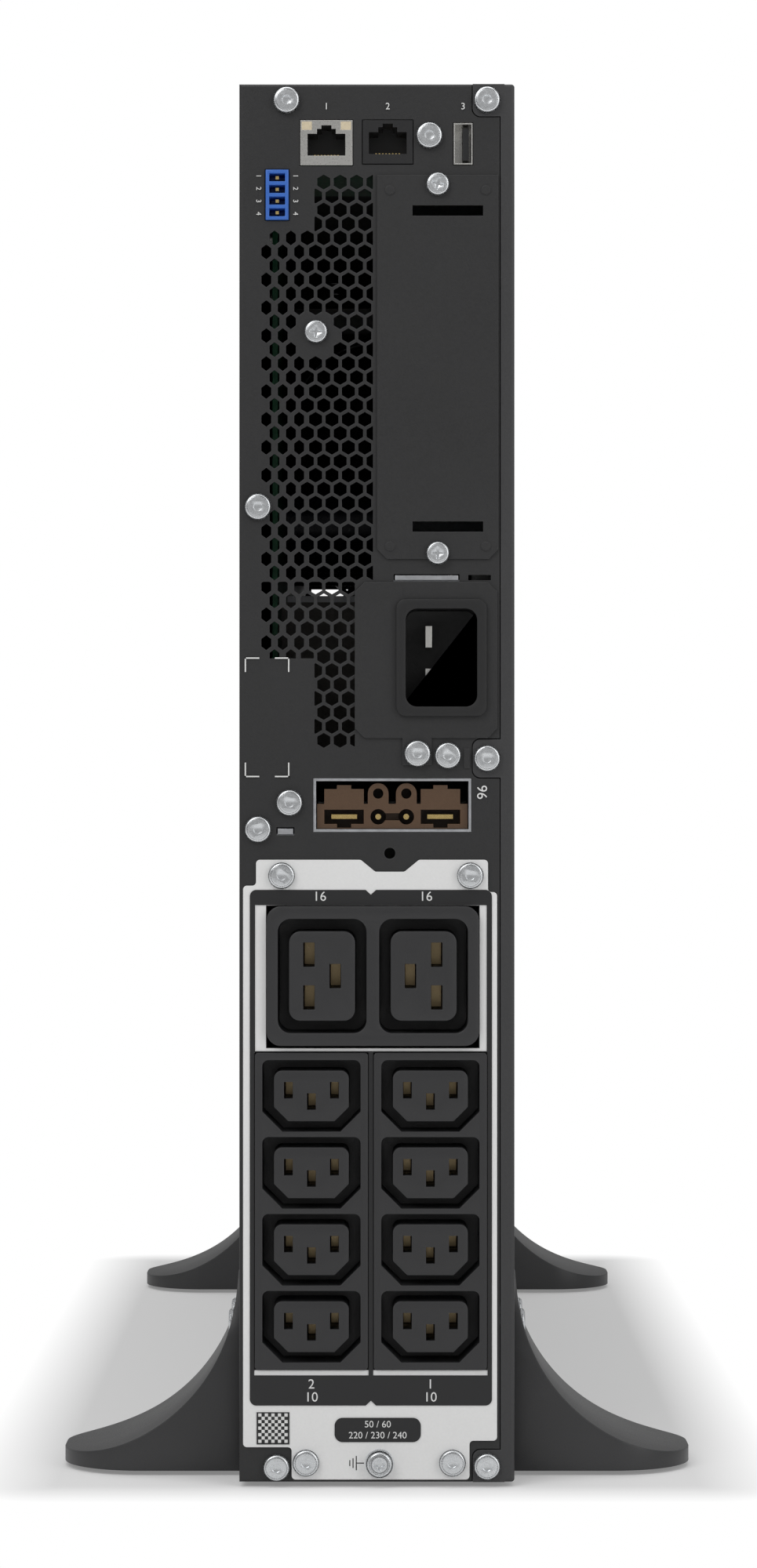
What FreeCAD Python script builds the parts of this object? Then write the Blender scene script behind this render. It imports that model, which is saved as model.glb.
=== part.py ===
"""A 2U double-conversion UPS standing upright on four tower feet, as a parametric assembly.

The frame: X runs across the narrow width, Y runs from the rear panel (low) to the front
bezel (high), Z runs up from the floor. The origin lies on the floor under the middle.
Every driving dimension is a cell of the sheet "sizes", in millimetres.
"""

import FreeCAD, Part
import math
import os
import sys

import Sketcher
from FreeCAD import Placement, Rotation, Vector

# ---------------------------------------------------------------------------------------
# Driving dimensions
# ---------------------------------------------------------------------------------------

SIZES = {
    # enclosure
    "chassis_width": 85.0,
    "chassis_height": 432.0,
    "overall_depth": 635.0,
    "bezel_depth": 25.0,
    "gauge": 1.2,
    "thin_gauge": 0.8,
    "cover_rim": 4.3,
    "seam_gap": 0.3,
    "bend_radius": 1.0,
    "stance": 1.5,
    "tab_reach": 8.6,
    "tab_height": 10.0,
    "tab_corner": 2.5,
    "middle_tab_rise": 223.6,
    "middle_tab_half": 5.9,
    "rack_hole_radius": 1.65,
    "rack_hole_pitch_y": 40.0,
    "rack_hole_pitch_x": 32.0,
    "rack_hole_setback": 45.0,
    # screws
    "lobe_head_radius": 4.05,
    "lobe_head_height": 2.3,
    "lobe_shaft_radius": 2.0,
    "lobe_shaft_length": 7.0,
    "cross_head_radius": 3.55,
    "cross_head_height": 2.1,
    "cross_shaft_radius": 1.5,
    "cross_shaft_length": 6.0,
    "screw_clearance": 0.15,
    "earth_head_radius": 4.0,
    "earth_head_height": 3.0,
    "earth_washer_radius": 4.8,
    "earth_washer_height": 0.9,
    # connector row, measured down from the top
    "jack_row_drop": 11.0,
    "network_left": 18.6,
    "network_width": 16.6,
    "network_height": 14.4,
    "serial_left": 37.9,
    "serial_width": 15.9,
    "serial_height": 13.9,
    "jack_depth": 16.0,
    "jack_gap": 0.25,
    "jack_cavity_width": 11.7,
    "jack_cavity_height": 6.8,
    "jack_cavity_depth": 12.0,
    "jack_sill": 3.2,
    "jack_skin": 0.4,
    "usb_inset": 12.74,
    "usb_width": 6.3,
    "usb_height": 13.3,
    "usb_skin": 0.4,
    "usb_depth": 15.0,
    "board_thickness": 1.6,
    "terminal_left": 7.9,
    "terminal_drop": 26.3,
    "terminal_width": 7.6,
    "terminal_height": 16.0,
    "terminal_depth": 12.0,
    "terminal_wall": 1.1,
    "terminal_ways": 4.0,
    # vent honeycomb
    "vent_left": 6.5,
    "vent_drop": 28.0,
    "vent_pitch_x": 5.07,
    "vent_pitch_z": 4.313,
    "vent_cell_width": 4.0,
    "vent_cell_height": 4.6,
    "vent_narrow_width": 3.05,
    "vent_narrow_band": 12.9,
    "vent_margin": 1.3,
    # management card slot
    "card_inset": 5.0,
    "card_cover_width": 37.4,
    "card_cover_drop": 28.2,
    "card_cover_rise": 285.2,
    "card_cover_margin": 2.0,
    "card_slot_width": 21.8,
    "card_slot_height": 3.2,
    "card_slot_drop": 9.4,
    "card_depth": 128.0,
    "card_screw_drop": 2.9,
    # input plate and inlet
    "inlet_plate_inset": 5.3,
    "inlet_plate_width": 44.0,
    "inlet_plate_rise": 229.9,
    "inlet_plate_height": 48.2,
    "inlet_inset": 8.6,
    "inlet_width": 28.0,
    "inlet_height": 36.2,
    "inlet_rise": 236.6,
    "inlet_lip": 1.6,
    "inlet_cavity_width": 22.0,
    "inlet_cavity_height": 30.2,
    "inlet_cavity_depth": 17.0,
    "inlet_cavity_corner": 3.5,
    "inlet_body_depth": 26.0,
    "inlet_pin_width": 2.0,
    "inlet_pin_height": 6.6,
    "inlet_pin_length": 13.0,
    "inlet_pin_pitch": 13.2,
    "inlet_pin_offset": 7.7,
    # external battery port
    "port_left": 22.8,
    "port_width": 48.9,
    "port_rise": 200.8,
    "port_height": 16.7,
    "port_sleeve_depth": 34.0,
    "port_case_depth": 1.5,
    "port_bore_depth": 14.0,
    "port_row_rise": 3.6,
    "port_wide_width": 12.2,
    "port_wide_height": 4.4,
    "port_wide_reach": 14.9,
    "port_key_width": 4.4,
    "port_barrel_reach": 4.35,
    "port_barrel_radius": 3.2,
    "port_upper_radius": 1.6,
    "port_lower_radius": 2.4,
    "port_pin_radius": 0.9,
    "port_blade_width": 8.0,
    "port_blade_height": 1.4,
    "latch_hole_radius": 1.7,
    "latch_hole_rise": 194.3,
    "latch_hole_left": 46.5,
    # outlet panel
    "outlet_left": 1.2,
    "outlet_width": 78.4,
    "outlet_rise": 0.9,
    "outlet_skirt": 10.0,
    "outlet_shoulder": 183.3,
    "outlet_height": 192.3,
    "outlet_ear_inset": 4.0,
    "outlet_dip_half": 9.0,
    "outlet_dip_depth": 3.7,
    "label_thickness": 0.25,
    "label_left": 3.3,
    "label_width": 74.7,
    "label_rise": 23.8,
    "label_height": 159.2,
    "label_corner": 2.0,
    "label_nick_half": 1.6,
    "label_nick_depth": 1.5,
    "bank_left": 4.85,
    "bank_width": 34.9,
    "bank_gap": 1.8,
    "bank_rise": 34.9,
    "bank_height": 97.8,
    "bank_depth": 24.0,
    "bank_proud": 0.9,
    "outlet_pitch": 23.75,
    "socket_width": 30.3,
    "socket_height": 22.1,
    "socket_chamfer": 6.2,
    "socket_depth": 16.0,
    "contact_setback": 15.5,
    "contact_play": 0.2,
    "core_width": 23.1,
    "core_height": 15.6,
    "core_chamfer": 4.4,
    "contact_slot_width": 2.7,
    "contact_slot_height": 5.1,
    "contact_slot_pitch": 14.2,
    "contact_slot_offset": 3.5,
    "big_left": 8.5,
    "big_width": 65.5,
    "big_rise": 134.9,
    "big_height": 43.1,
    "big_corner": 4.4,
    "big_proud": 2.0,
    "big_socket_width": 27.3,
    "big_socket_height": 35.2,
    "big_socket_corner": 4.0,
    "big_socket_pitch": 31.3,
    "big_core_width": 20.4,
    "big_core_height": 27.6,
    "big_slot_width": 3.5,
    "big_slot_height": 7.5,
    "big_slot_pitch": 13.2,
    "big_slot_offset": 8.1,
    # tower feet
    "foot_arc_radius": 56.0,
    "foot_neck": 1.5,
    "foot_reach": 57.0,
    "foot_toe_height": 4.5,
    "foot_depth": 60.0,
    "foot_toe_radius": 25.0,
    "foot_brow_radius": 22.0,
    "foot_wall": 2.5,
    "foot_rear_setback": 52.0,
    "foot_front_setback": 94.0,
    "foot_screw_rise": 45.0,
    "foot_screw_pitch": 28.0,
    "foot_screw_recess": 2.2,
    "foot_pad_radius": 6.0,
    "foot_pad_inset": 9.5,
    "foot_toe_pad_inset": 14.0,
    # battery module
    "block_width": 70.0,
    "block_length": 90.0,
    "block_height": 101.0,
    "block_rows": 4.0,
    "block_gap": 1.0,
    "battery_play": 0.5,
    "battery_handle_reach": 12.0,
    # power electronics
    "standoff_height": 8.0,
    "board_setback": 44.0,
    "capacitor_radius": 15.0,
    "capacitor_length": 48.0,
    "fan_size": 80.0,
    "fan_thickness": 25.0,
    "fan_tip_gap": 0.7,
    "fan_hub_radius": 18.0,
    "fan_setback": 14.0,
    "fan_gap": 6.0,
    # front
    "bezel_wall": 2.5,
    "bezel_corner": 6.0,
    "bezel_split_gap": 0.6,
    "display_radius": 31.0,
    "display_drop": 44.0,
    "display_play": 0.3,
    "screen_width": 40.0,
    "screen_height": 24.0,
    "key_width": 8.0,
    "key_height": 5.0,
    "key_pitch": 10.4,
    "key_drop": 15.5,
    "button_radius": 6.5,
    "button_drop": 94.0,
    "louvre_height": 3.2,
    "louvre_pitch": 6.4,
    "louvre_width": 60.0,
}

doc = FreeCAD.newDocument("tower_ups")
sheet = doc.addObject("Spreadsheet::Sheet", "sizes")
for row, (name, value) in enumerate(SIZES.items(), 1):
    sheet.set(f"A{row}", name)
    sheet.set(f"B{row}", str(value))
    sheet.setAlias(f"B{row}", name)
doc.recompute()


class Length:
    """A number that is worked out from the sheet, and the formula that says how."""

    def __init__(self, text, value):
        self.text = text
        self.value = float(value)

    def _join(self, other, sign, value):
        return Length(f"({self.text} {sign} {length(other).text})", value)

    def __add__(self, other):
        return self._join(other, "+", self.value + length(other).value)

    def __sub__(self, other):
        return self._join(other, "-", self.value - length(other).value)

    def __mul__(self, other):
        return self._join(other, "*", self.value * length(other).value)

    def __truediv__(self, other):
        return self._join(other, "/", self.value / length(other).value)

    def __radd__(self, other):
        return length(other) + self

    def __rsub__(self, other):
        return length(other) - self

    def __rmul__(self, other):
        return length(other) * self

    def __neg__(self):
        return Length(f"(0 - {self.text})", -self.value)


def length(thing):
    return thing if isinstance(thing, Length) else Length(repr(float(thing)), thing)


def size(name):
    return Length(f"sizes.{name}", sheet.get(name))


subparts = []


def keep(thing, label):
    """Marks a document object as a finished sub-part; its label names its file."""
    thing.Label = label
    subparts.append(thing)
    return thing


# ---------------------------------------------------------------------------------------
# Part primitives, bound to the sheet
# ---------------------------------------------------------------------------------------

TURN = {
    "x": Rotation(Vector(0, 1, 0), 90),
    "y": Rotation(Vector(1, 0, 0), -90),
    "z": Rotation(),
}


def bind(thing, target, formula):
    thing.setExpression(target, length(formula).text)


def block(name, x, y, z):
    """A box from three (low, high) pairs."""
    box = doc.addObject("Part::Box", name)
    for side, corner, (low, high) in zip(("Length", "Width", "Height"), "xyz", (x, y, z)):
        span = length(high) - length(low)
        setattr(box, side, span.value)
        bind(box, side, span)
        bind(box, f"Placement.Base.{corner}", low)
    return box


def rod(name, axis, x, y, z, radius, span):
    """A round bar from (x, y, z), running span along an axis."""
    bar = doc.addObject("Part::Cylinder", name)
    bar.Placement = Placement(Vector(), TURN[axis])
    bar.Radius, bar.Height = length(radius).value, length(span).value
    bind(bar, "Radius", radius)
    bind(bar, "Height", span)
    for corner, place in zip("xyz", (x, y, z)):
        bind(bar, f"Placement.Base.{corner}", place)
    return bar


def fuse(name, *things):
    joined = doc.addObject("Part::MultiFuse", name)
    joined.Shapes = list(things)
    joined.Refine = True
    return joined


def group(name, *things):
    """Separate solids of one node."""
    held = doc.addObject("Part::Compound", name)
    held.Links = list(things)
    return held


def cut(name, base, *tools):
    less = doc.addObject("Part::Cut", name)
    less.Base = base
    less.Tool = tools[0] if len(tools) == 1 else fuse(f"{name}_tools", *tools)
    return less


def copy_of(name, thing, x, y, z, turn=None):
    """A second use of a piece, moved and turned."""
    link = doc.addObject("App::Link", name)
    link.LinkedObject = thing
    link.LinkPlacement = Placement(Vector(), turn or Rotation())
    for corner, place in zip("xyz", (x, y, z)):
        bind(link, f"LinkPlacement.Base.{corner}", place)
    return link


# ---------------------------------------------------------------------------------------
# PartDesign helpers
# ---------------------------------------------------------------------------------------

# The origin plane's role, and the sign that carries its sketches along the plane's axis.
PLANES = {"y": ("XZ_Plane", -1), "z": ("XY_Plane", 1), "x": ("YZ_Plane", 1)}


def new_body(name):
    return doc.addObject("PartDesign::Body", name)


def new_sketch(body, name, axis, place):
    """A sketch square to an axis, at a place along it. Its own axes are the other two."""
    role, sign = PLANES[axis]
    sketch = body.newObject("Sketcher::SketchObject", name)
    plane = next(f for f in body.Origin.OriginFeatures if f.Role == role)
    sketch.AttachmentSupport = (plane, [""])
    sketch.MapMode = "FlatFace"
    offset = length(place) * sign
    sketch.AttachmentOffset = Placement(Vector(0, 0, offset.value), Rotation())
    bind(sketch, "AttachmentOffset.Base.z", offset)
    return sketch


def fix(sketch, index, point, u, v):
    """Ties one point of a sketch to its two coordinates."""
    for kind, place in (("DistanceX", u), ("DistanceY", v)):
        place = length(place)
        number = sketch.addConstraint(
            Sketcher.Constraint(kind, -1, 1, index, point, place.value)
        )
        bind(sketch, f"Constraints[{number}]", place)


def polygon(sketch, points):
    first = sketch.GeometryCount
    count = len(points)
    ends = [Vector(length(u).value, length(v).value, 0) for u, v in points]
    for i in range(count):
        sketch.addGeometry(Part.LineSegment(ends[i], ends[(i + 1) % count]), False)
    for i in range(count):
        after = first + (i + 1) % count
        sketch.addConstraint(Sketcher.Constraint("Coincident", first + i, 2, after, 1))
    for i, (u, v) in enumerate(points):
        fix(sketch, first + i, 1, u, v)
    return sketch


def rectangle(sketch, u, v):
    (u0, u1), (v0, v1) = u, v
    return polygon(sketch, [(u0, v0), (u1, v0), (u1, v1), (u0, v1)])


def circle(sketch, u, v, radius):
    index = sketch.GeometryCount
    u, v, radius = length(u), length(v), length(radius)
    sketch.addGeometry(Part.Circle(Vector(u.value, v.value, 0), Vector(0, 0, 1), radius.value))
    fix(sketch, index, 3, u, v)
    number = sketch.addConstraint(Sketcher.Constraint("Radius", index, radius.value))
    bind(sketch, f"Constraints[{number}]", radius)
    return sketch


def pad(body, name, sketch, span, onward=True):
    """Adds material. Onward is towards the higher end of the sketch's axis."""
    feature = body.newObject("PartDesign::Pad", name)
    feature.Profile = sketch
    feature.Length = length(span).value
    bind(feature, "Length", span)
    low_normal = sketch.AttachmentSupport[0][0].Role == "XZ_Plane"
    feature.Reversed = low_normal == onward
    sketch.Visibility = False
    return feature


def pocket(body, name, sketch, span, onward=True):
    """Takes material away, towards the higher end of the sketch's axis if onward."""
    feature = body.newObject("PartDesign::Pocket", name)
    feature.Profile = sketch
    feature.Length = length(span).value
    bind(feature, "Length", span)
    low_normal = sketch.AttachmentSupport[0][0].Role == "XZ_Plane"
    feature.Reversed = low_normal != onward
    sketch.Visibility = False
    return feature


def round_edges(body, name, radius, chosen):
    """A fillet on the edges of the body's tip that a test picks out."""
    doc.recompute()
    base = body.Tip
    names = [f"Edge{i}" for i, e in enumerate(base.Shape.Edges, 1) if chosen(e)]
    feature = body.newObject("PartDesign::Fillet", name)
    feature.Base = (base, names)
    feature.Radius = length(radius).value
    bind(feature, "Radius", radius)
    doc.recompute()
    return feature


def runs_along(edge, axis):
    """True for a straight edge parallel to an axis."""
    if edge.Degenerated or len(edge.Vertexes) < 2:
        return False
    if not isinstance(edge.Curve, (Part.Line, Part.LineSegment)):
        return False
    step = edge.Vertexes[-1].Point - edge.Vertexes[0].Point
    return abs(abs(getattr(step.normalize(), axis)) - 1) < 1e-6


def lies_at(edge, axis, *places):
    """True when the edge's middle lies at one of the places along an axis."""
    middle = getattr(edge.CenterOfMass, axis)
    return any(abs(middle - length(p).value) < 0.02 for p in places)


def rounded_plate(name, axis, place, u, v, span, corner):
    """A rectangle with round corners, as a body with one pad."""
    body = new_body(name)
    sketch = rectangle(new_sketch(body, f"{name}_outline", axis, place), u, v)
    pad(body, f"{name}_pad", sketch, span)
    round_edges(body, f"{name}_corners", corner, lambda e: runs_along(e, axis))
    return body


# ---------------------------------------------------------------------------------------
# Places that many pieces share
# ---------------------------------------------------------------------------------------

GAUGE = size("gauge")
THIN = size("thin_gauge")
LEFT = -size("chassis_width") / 2
RIGHT = size("chassis_width") / 2
REAR = -size("overall_depth") / 2
FRONT = size("overall_depth") / 2
MOUTH = FRONT - size("bezel_depth")  # the front end of the sheet metal
BASE = size("stance")
TOP = BASE + size("chassis_height")
SEAM = RIGHT - size("cover_rim")  # where the cover starts
EDGE = SEAM - size("seam_gap")  # where the tray and the rear panel end
INNER_LEFT = LEFT + GAUGE
INNER_EDGE = EDGE - GAUGE
FLOOR = BASE + GAUGE
CEILING = TOP - GAUGE
PANEL = REAR + GAUGE  # the rear panel's inner face
PLAY = size("seam_gap")
LIP = RIGHT - GAUGE - PLAY  # the end of the tray's lips under the cover
UNDER = FLOOR + PLAY + GAUGE  # the top of the lower lip
OVER = CEILING - PLAY - GAUGE  # the underside of the upper lip
MIDDLE_X = (INNER_LEFT + LIP) / 2
SKIN = REAR - THIN  # the outer face of the thin plates on the rear panel

# Screw centres: name -> (distance in from a side wall, distance up or down, corner)
LOBE_PLACES = {
    "top_left": (14.6, 5.1, "left", "top"),
    "port_row": (26.3, 16.0, "right", "top"),
    "vent_edge": (5.8, 130.7, "left", "top"),
    "inlet_right": (20.6, 224.5, "right", "bottom"),
    "port_left": (15.5, 209.9, "left", "bottom"),
    "wall_left": (5.8, 201.7, "left", "bottom"),
    "bottom_left": (11.5, 4.6, "left", "bottom"),
}
PLATE_PLACES = {
    "plate_top_left": (13.1, 187.4, "left", "bottom"),
    "plate_top_right": (13.7, 187.4, "right", "bottom"),
    "plate_bottom_left": (20.6, 6.2, "left", "bottom"),
    "plate_bottom_right": (19.2, 6.2, "right", "bottom"),
    "inlet_tab": (30.0, 225.1, "right", "bottom"),
}
VENT_SCREW = (23.7, 76.6, "left", "top")
EARTH_SCREW = (43.3, 6.0, "left", "bottom")


def place(name, spot):
    """Puts a screw's place in the sheet, and gives its centre back."""
    across, along, side, end = spot
    for suffix, value in (("across", across), ("along", along)):
        alias = f"{name}_{suffix}"
        line = len(SIZES) + 1
        SIZES[alias] = value
        sheet.set(f"A{line}", alias)
        sheet.set(f"B{line}", str(value))
        sheet.setAlias(f"B{line}", alias)
    doc.recompute()
    x = LEFT + size(f"{name}_across") if side == "left" else RIGHT - size(f"{name}_across")
    z = TOP - size(f"{name}_along") if end == "top" else BASE + size(f"{name}_along")
    return x, z


lobe_places = [place(name, spot) for name, spot in LOBE_PLACES.items()]
plate_places = [place(name, spot) for name, spot in PLATE_PLACES.items()]
inlet_tab_place = plate_places[-1]
vent_screw_place = place("vent_screw", VENT_SCREW)
earth_place = place("earth_screw", EARTH_SCREW)

# Rear panel features
TAB_LEFT = SEAM - size("tab_reach")
TAB_SCREW_X = (SEAM + TAB_LEFT) / 2 + 0.1
MIDDLE_TAB = BASE + size("middle_tab_rise")
TABS = [
    (TOP - size("tab_height"), TOP),
    (MIDDLE_TAB - size("middle_tab_half"), MIDDLE_TAB + size("middle_tab_half")),
    (BASE, BASE + size("tab_height")),
]
tab_screw_places = [(TAB_SCREW_X, (low + high) / 2) for low, high in TABS]

JACK_TOP = TOP - size("jack_row_drop")
NETWORK_X = (LEFT + size("network_left"), LEFT + size("network_left") + size("network_width"))
NETWORK_Z = (JACK_TOP - size("network_height"), JACK_TOP)
SERIAL_X = (LEFT + size("serial_left"), LEFT + size("serial_left") + size("serial_width"))
SERIAL_Z = (JACK_TOP - size("serial_height"), JACK_TOP)
USB_X = (RIGHT - size("usb_inset") - size("usb_width"), RIGHT - size("usb_inset"))
USB_Z = (NETWORK_Z[0] + 0.2, NETWORK_Z[0] + 0.2 + size("usb_height"))
TERMINAL_X = (LEFT + size("terminal_left"), LEFT + size("terminal_left") + size("terminal_width"))
TERMINAL_TOP = TOP - size("terminal_drop")
TERMINAL_Z = (TERMINAL_TOP - size("terminal_height"), TERMINAL_TOP)

CARD_X = (RIGHT - size("card_inset") - size("card_cover_width"), RIGHT - size("card_inset"))
CARD_Z = (BASE + size("card_cover_rise"), TOP - size("card_cover_drop"))
CARD_MIDDLE = (CARD_X[0] + CARD_X[1]) / 2

PLATE_RIGHT = RIGHT - size("inlet_plate_inset")
PLATE_X = (PLATE_RIGHT - size("inlet_plate_width"), PLATE_RIGHT)
PLATE_BASE = BASE + size("inlet_plate_rise")
PLATE_Z = (PLATE_BASE, PLATE_BASE + size("inlet_plate_height"))
INLET_RIGHT = RIGHT - size("inlet_inset")
INLET_X = (INLET_RIGHT - size("inlet_width"), INLET_RIGHT)
INLET_Z = (BASE + size("inlet_rise"), BASE + size("inlet_rise") + size("inlet_height"))
INLET_MIDDLE = ((INLET_X[0] + INLET_X[1]) / 2, (INLET_Z[0] + INLET_Z[1]) / 2)

PORT_X = (LEFT + size("port_left"), LEFT + size("port_left") + size("port_width"))
PORT_Z = (BASE + size("port_rise"), BASE + size("port_rise") + size("port_height"))
LATCH = (LEFT + size("latch_hole_left"), BASE + size("latch_hole_rise"))

BANK_WIDTH = size("bank_width")
BANK_LEFT = LEFT + size("bank_left")
BANK_RIGHT = BANK_LEFT + BANK_WIDTH + size("bank_gap")
BANK_Z = (BASE + size("bank_rise"), BASE + size("bank_rise") + size("bank_height"))
BANKS = {
    "left": (BANK_LEFT, BANK_LEFT + BANK_WIDTH),
    "right": (BANK_RIGHT, BANK_RIGHT + BANK_WIDTH),
}
BIG_X = (LEFT + size("big_left"), LEFT + size("big_left") + size("big_width"))
BIG_Z = (BASE + size("big_rise"), BASE + size("big_rise") + size("big_height"))
HOLE = size("screw_clearance")


def wider(pair, by):
    return pair[0] - by, pair[1] + by


# ---------------------------------------------------------------------------------------
# Rear panel
# ---------------------------------------------------------------------------------------

# Slots in which small bracket hooks show: (x low, x high, z low, z high)
SLOTS = {
    "inlet_hook": (CARD_X[0] + 5.1, CARD_X[1] - 12.0, PLATE_Z[1] + 0.2, PLATE_Z[1] + 2.4),
    "inlet_relief": (CARD_X[1] - 9.3, CARD_X[1] - 2.3, PLATE_Z[1] + 0.5, PLATE_Z[1] + 2.2),
    "wall_hook": (LEFT + 11.5, LEFT + 17.0, PORT_Z[0] - 1.0, PORT_Z[0] + 1.5),
}


def rear_panel_sheet():
    body = new_body("rear_panel_sheet")
    notch = TAB_LEFT - PLAY
    top_tab, middle_tab, bottom_tab = TABS
    outline = [
        (LEFT, BASE),
        (notch, BASE),
        (notch, bottom_tab[1] + PLAY),
        (EDGE, bottom_tab[1] + PLAY),
        (EDGE, middle_tab[0] - PLAY),
        (notch, middle_tab[0] - PLAY),
        (notch, middle_tab[1] + PLAY),
        (EDGE, middle_tab[1] + PLAY),
        (EDGE, top_tab[0] - PLAY),
        (notch, top_tab[0] - PLAY),
        (notch, TOP),
        (LEFT, TOP),
    ]
    pad(body, "rear_panel_pad", polygon(new_sketch(body, "rear_panel_outline", "y", REAR), outline), GAUGE)
    inner_corner = lambda e: (
        runs_along(e, "y")
        and lies_at(e, "x", notch)
        and not lies_at(e, "z", BASE, TOP)
    )
    round_edges(body, "rear_panel_notches", size("tab_corner"), inner_corner)
    bend = lambda e: lies_at(e, "y", REAR) and (
        (runs_along(e, "z") and lies_at(e, "x", LEFT))
        or (runs_along(e, "x") and lies_at(e, "z", BASE, TOP))
    )
    round_edges(body, "rear_panel_bends", size("bend_radius"), bend)

    lugs = new_sketch(body, "rear_panel_lug_outline", "y", PANEL)
    lug_reach = size("tab_reach") / 2
    for low, high in TABS:
        low = low + (UNDER - BASE if low is BASE else 0)
        high = high - (UNDER - BASE if high is TOP else 0)
        rectangle(lugs, (TAB_LEFT - lug_reach, EDGE), (low, high))
    pad(body, "rear_panel_lugs", lugs, GAUGE)

    stop = new_sketch(body, "rear_panel_stop_outline", "y", REAR - 0.5)
    rectangle(stop, (notch - 2.4, notch - 0.6), wider((MIDDLE_TAB, MIDDLE_TAB), 3))
    pad(body, "rear_panel_stop", stop, 0.5)

    ports = new_sketch(body, "rear_panel_port_outline", "y", REAR)
    rectangle(ports, NETWORK_X, NETWORK_Z)
    rectangle(ports, SERIAL_X, SERIAL_Z)
    rectangle(ports, USB_X, USB_Z)
    rectangle(ports, TERMINAL_X, TERMINAL_Z)
    rectangle(ports, wider(CARD_X, -size("card_cover_margin")), wider(CARD_Z, -size("card_screw_drop") * 2))
    rectangle(ports, wider(INLET_X, -1), wider(INLET_Z, -1))
    rectangle(ports, PORT_X, PORT_Z)
    for x0, x1, z0, z1 in SLOTS.values():
        rectangle(ports, (x0, x1), (z0, z1))
    for low, high in BANKS.values():
        rectangle(ports, (low, high), BANK_Z)
    rectangle(ports, wider(BIG_X, 0), (BANK_Z[1] + 1.2, BIG_Z[1]))
    pocket(body, "rear_panel_ports", ports, GAUGE)

    holes = new_sketch(body, "rear_panel_hole_outline", "y", REAR)
    for x, z in lobe_places + plate_places + tab_screw_places:
        circle(holes, x, z, size("lobe_shaft_radius") + HOLE)
    for x, z in [vent_screw_place] + card_screw_places:
        circle(holes, x, z, size("cross_shaft_radius") + HOLE)
    circle(holes, *earth_place, size("lobe_shaft_radius") + HOLE)
    circle(holes, *LATCH, size("latch_hole_radius"))
    pocket(body, "rear_panel_holes", holes, GAUGE * 2)
    return body


card_screw_places = [
    (CARD_MIDDLE, CARD_Z[1] - size("card_screw_drop")),
    (CARD_MIDDLE, CARD_Z[0] + size("card_screw_drop") - 1.1),
]


def clipped(points, axis, limit, keep_below):
    """The part of a convex outline on one side of a line."""
    sign = 1 if keep_below else -1
    inside = lambda p: sign * (limit - p[axis]) >= 0
    result = []
    for i, here in enumerate(points):
        before = points[i - 1]
        if inside(here) != inside(before):
            share = (limit - before[axis]) / (here[axis] - before[axis])
            result.append(tuple(b + share * (h - b) for b, h in zip(before, here)))
        if inside(here):
            result.append(here)
    return result


def vent_zones():
    """The honeycomb's rectangles: (left, right, bottom, top) in millimetres."""
    number = lambda formula: length(formula).value
    left = number(LEFT + size("vent_left"))
    right = number(CARD_X[0]) - sheet.get("vent_margin")
    top = number(TOP - size("vent_drop"))
    plate_left = number(PLATE_X[0])
    row = sheet.get("vent_pitch_z")
    upper_end = number(PLATE_Z[1]) + 0.1
    middle_end = upper_end - 5.5 * row
    lower_end = upper_end - 12.0 * row
    corner_right = number(NETWORK_X[0]) + 4.6
    corner_end = number(TERMINAL_Z[0]) - 2.4
    return [
        (left, corner_right, upper_end, corner_end),
        (corner_right, right, upper_end, top),
        (left, plate_left, middle_end, upper_end),
        (corner_right, plate_left, lower_end, middle_end),
    ]


def vent_holes():
    """Honeycomb cells, whole or cut at the edges of the zones they lie in."""
    pitch_x = sheet.get("vent_pitch_x") / 2
    pitch_z = sheet.get("vent_pitch_z")
    half_height = sheet.get("vent_cell_height") / 2
    smallest = sheet.get("vent_cell_width") * 0.28
    zones = vent_zones()
    right = zones[1][1]
    top = zones[1][3]
    columns = int((right - zones[0][0]) / pitch_x) + 1
    rows = int((top - zones[3][2]) / pitch_z) + 1
    narrow_end = zones[0][0] + sheet.get("vent_narrow_band")
    screw_x, screw_z = (p.value for p in vent_screw_place)
    edge_x, edge_z = (p.value for p in lobe_places[2])
    keep_off = sheet.get("cross_head_radius") + 3.6
    edge_off = sheet.get("lobe_head_radius") + 1.6
    cells = []
    for row in range(rows):
        z = top - half_height - row * pitch_z
        for column in range(row % 2, columns, 2):
            x = right - column * pitch_x
            narrow = x < narrow_end
            width = sheet.get("vent_narrow_width" if narrow else "vent_cell_width")
            if math.hypot(x - screw_x, z - screw_z) < keep_off:
                continue
            if math.hypot(x - edge_x, z - edge_z) < edge_off:
                continue
            corners = [
                (x + width / 2 * across, z + half_height * along)
                for across, along in ((0, 1), (1, 0.5), (1, -0.5), (0, -1), (-1, -0.5), (-1, 0.5))
            ]
            for low_x, high_x, low_z, high_z in zones:
                outline = clipped(corners, 0, low_x, False)
                for axis, limit, below in ((0, high_x, True), (1, low_z, False), (1, high_z, True)):
                    outline = clipped(outline, axis, limit, below) if outline else outline
                if len(outline) < 3:
                    continue
                spans = [max(p[a] for p in outline) - min(p[a] for p in outline) for a in (0, 1)]
                if min(spans) < smallest:
                    continue
                ring = [Vector(px, REAR.value - 1, pz) for px, pz in outline]
                face = Part.Face(Part.makePolygon(ring + ring[:1]))
                cells.append(face.extrude(Vector(0, GAUGE.value + 2, 0)))
    tool = doc.addObject("Part::Feature", "vent_holes")
    tool.Shape = Part.Compound(cells)
    return tool


keep(cut("rear_panel_vented", rear_panel_sheet(), vent_holes()), "rear_panel")

# ---------------------------------------------------------------------------------------
# Sheet metal round the inside
# ---------------------------------------------------------------------------------------


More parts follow.
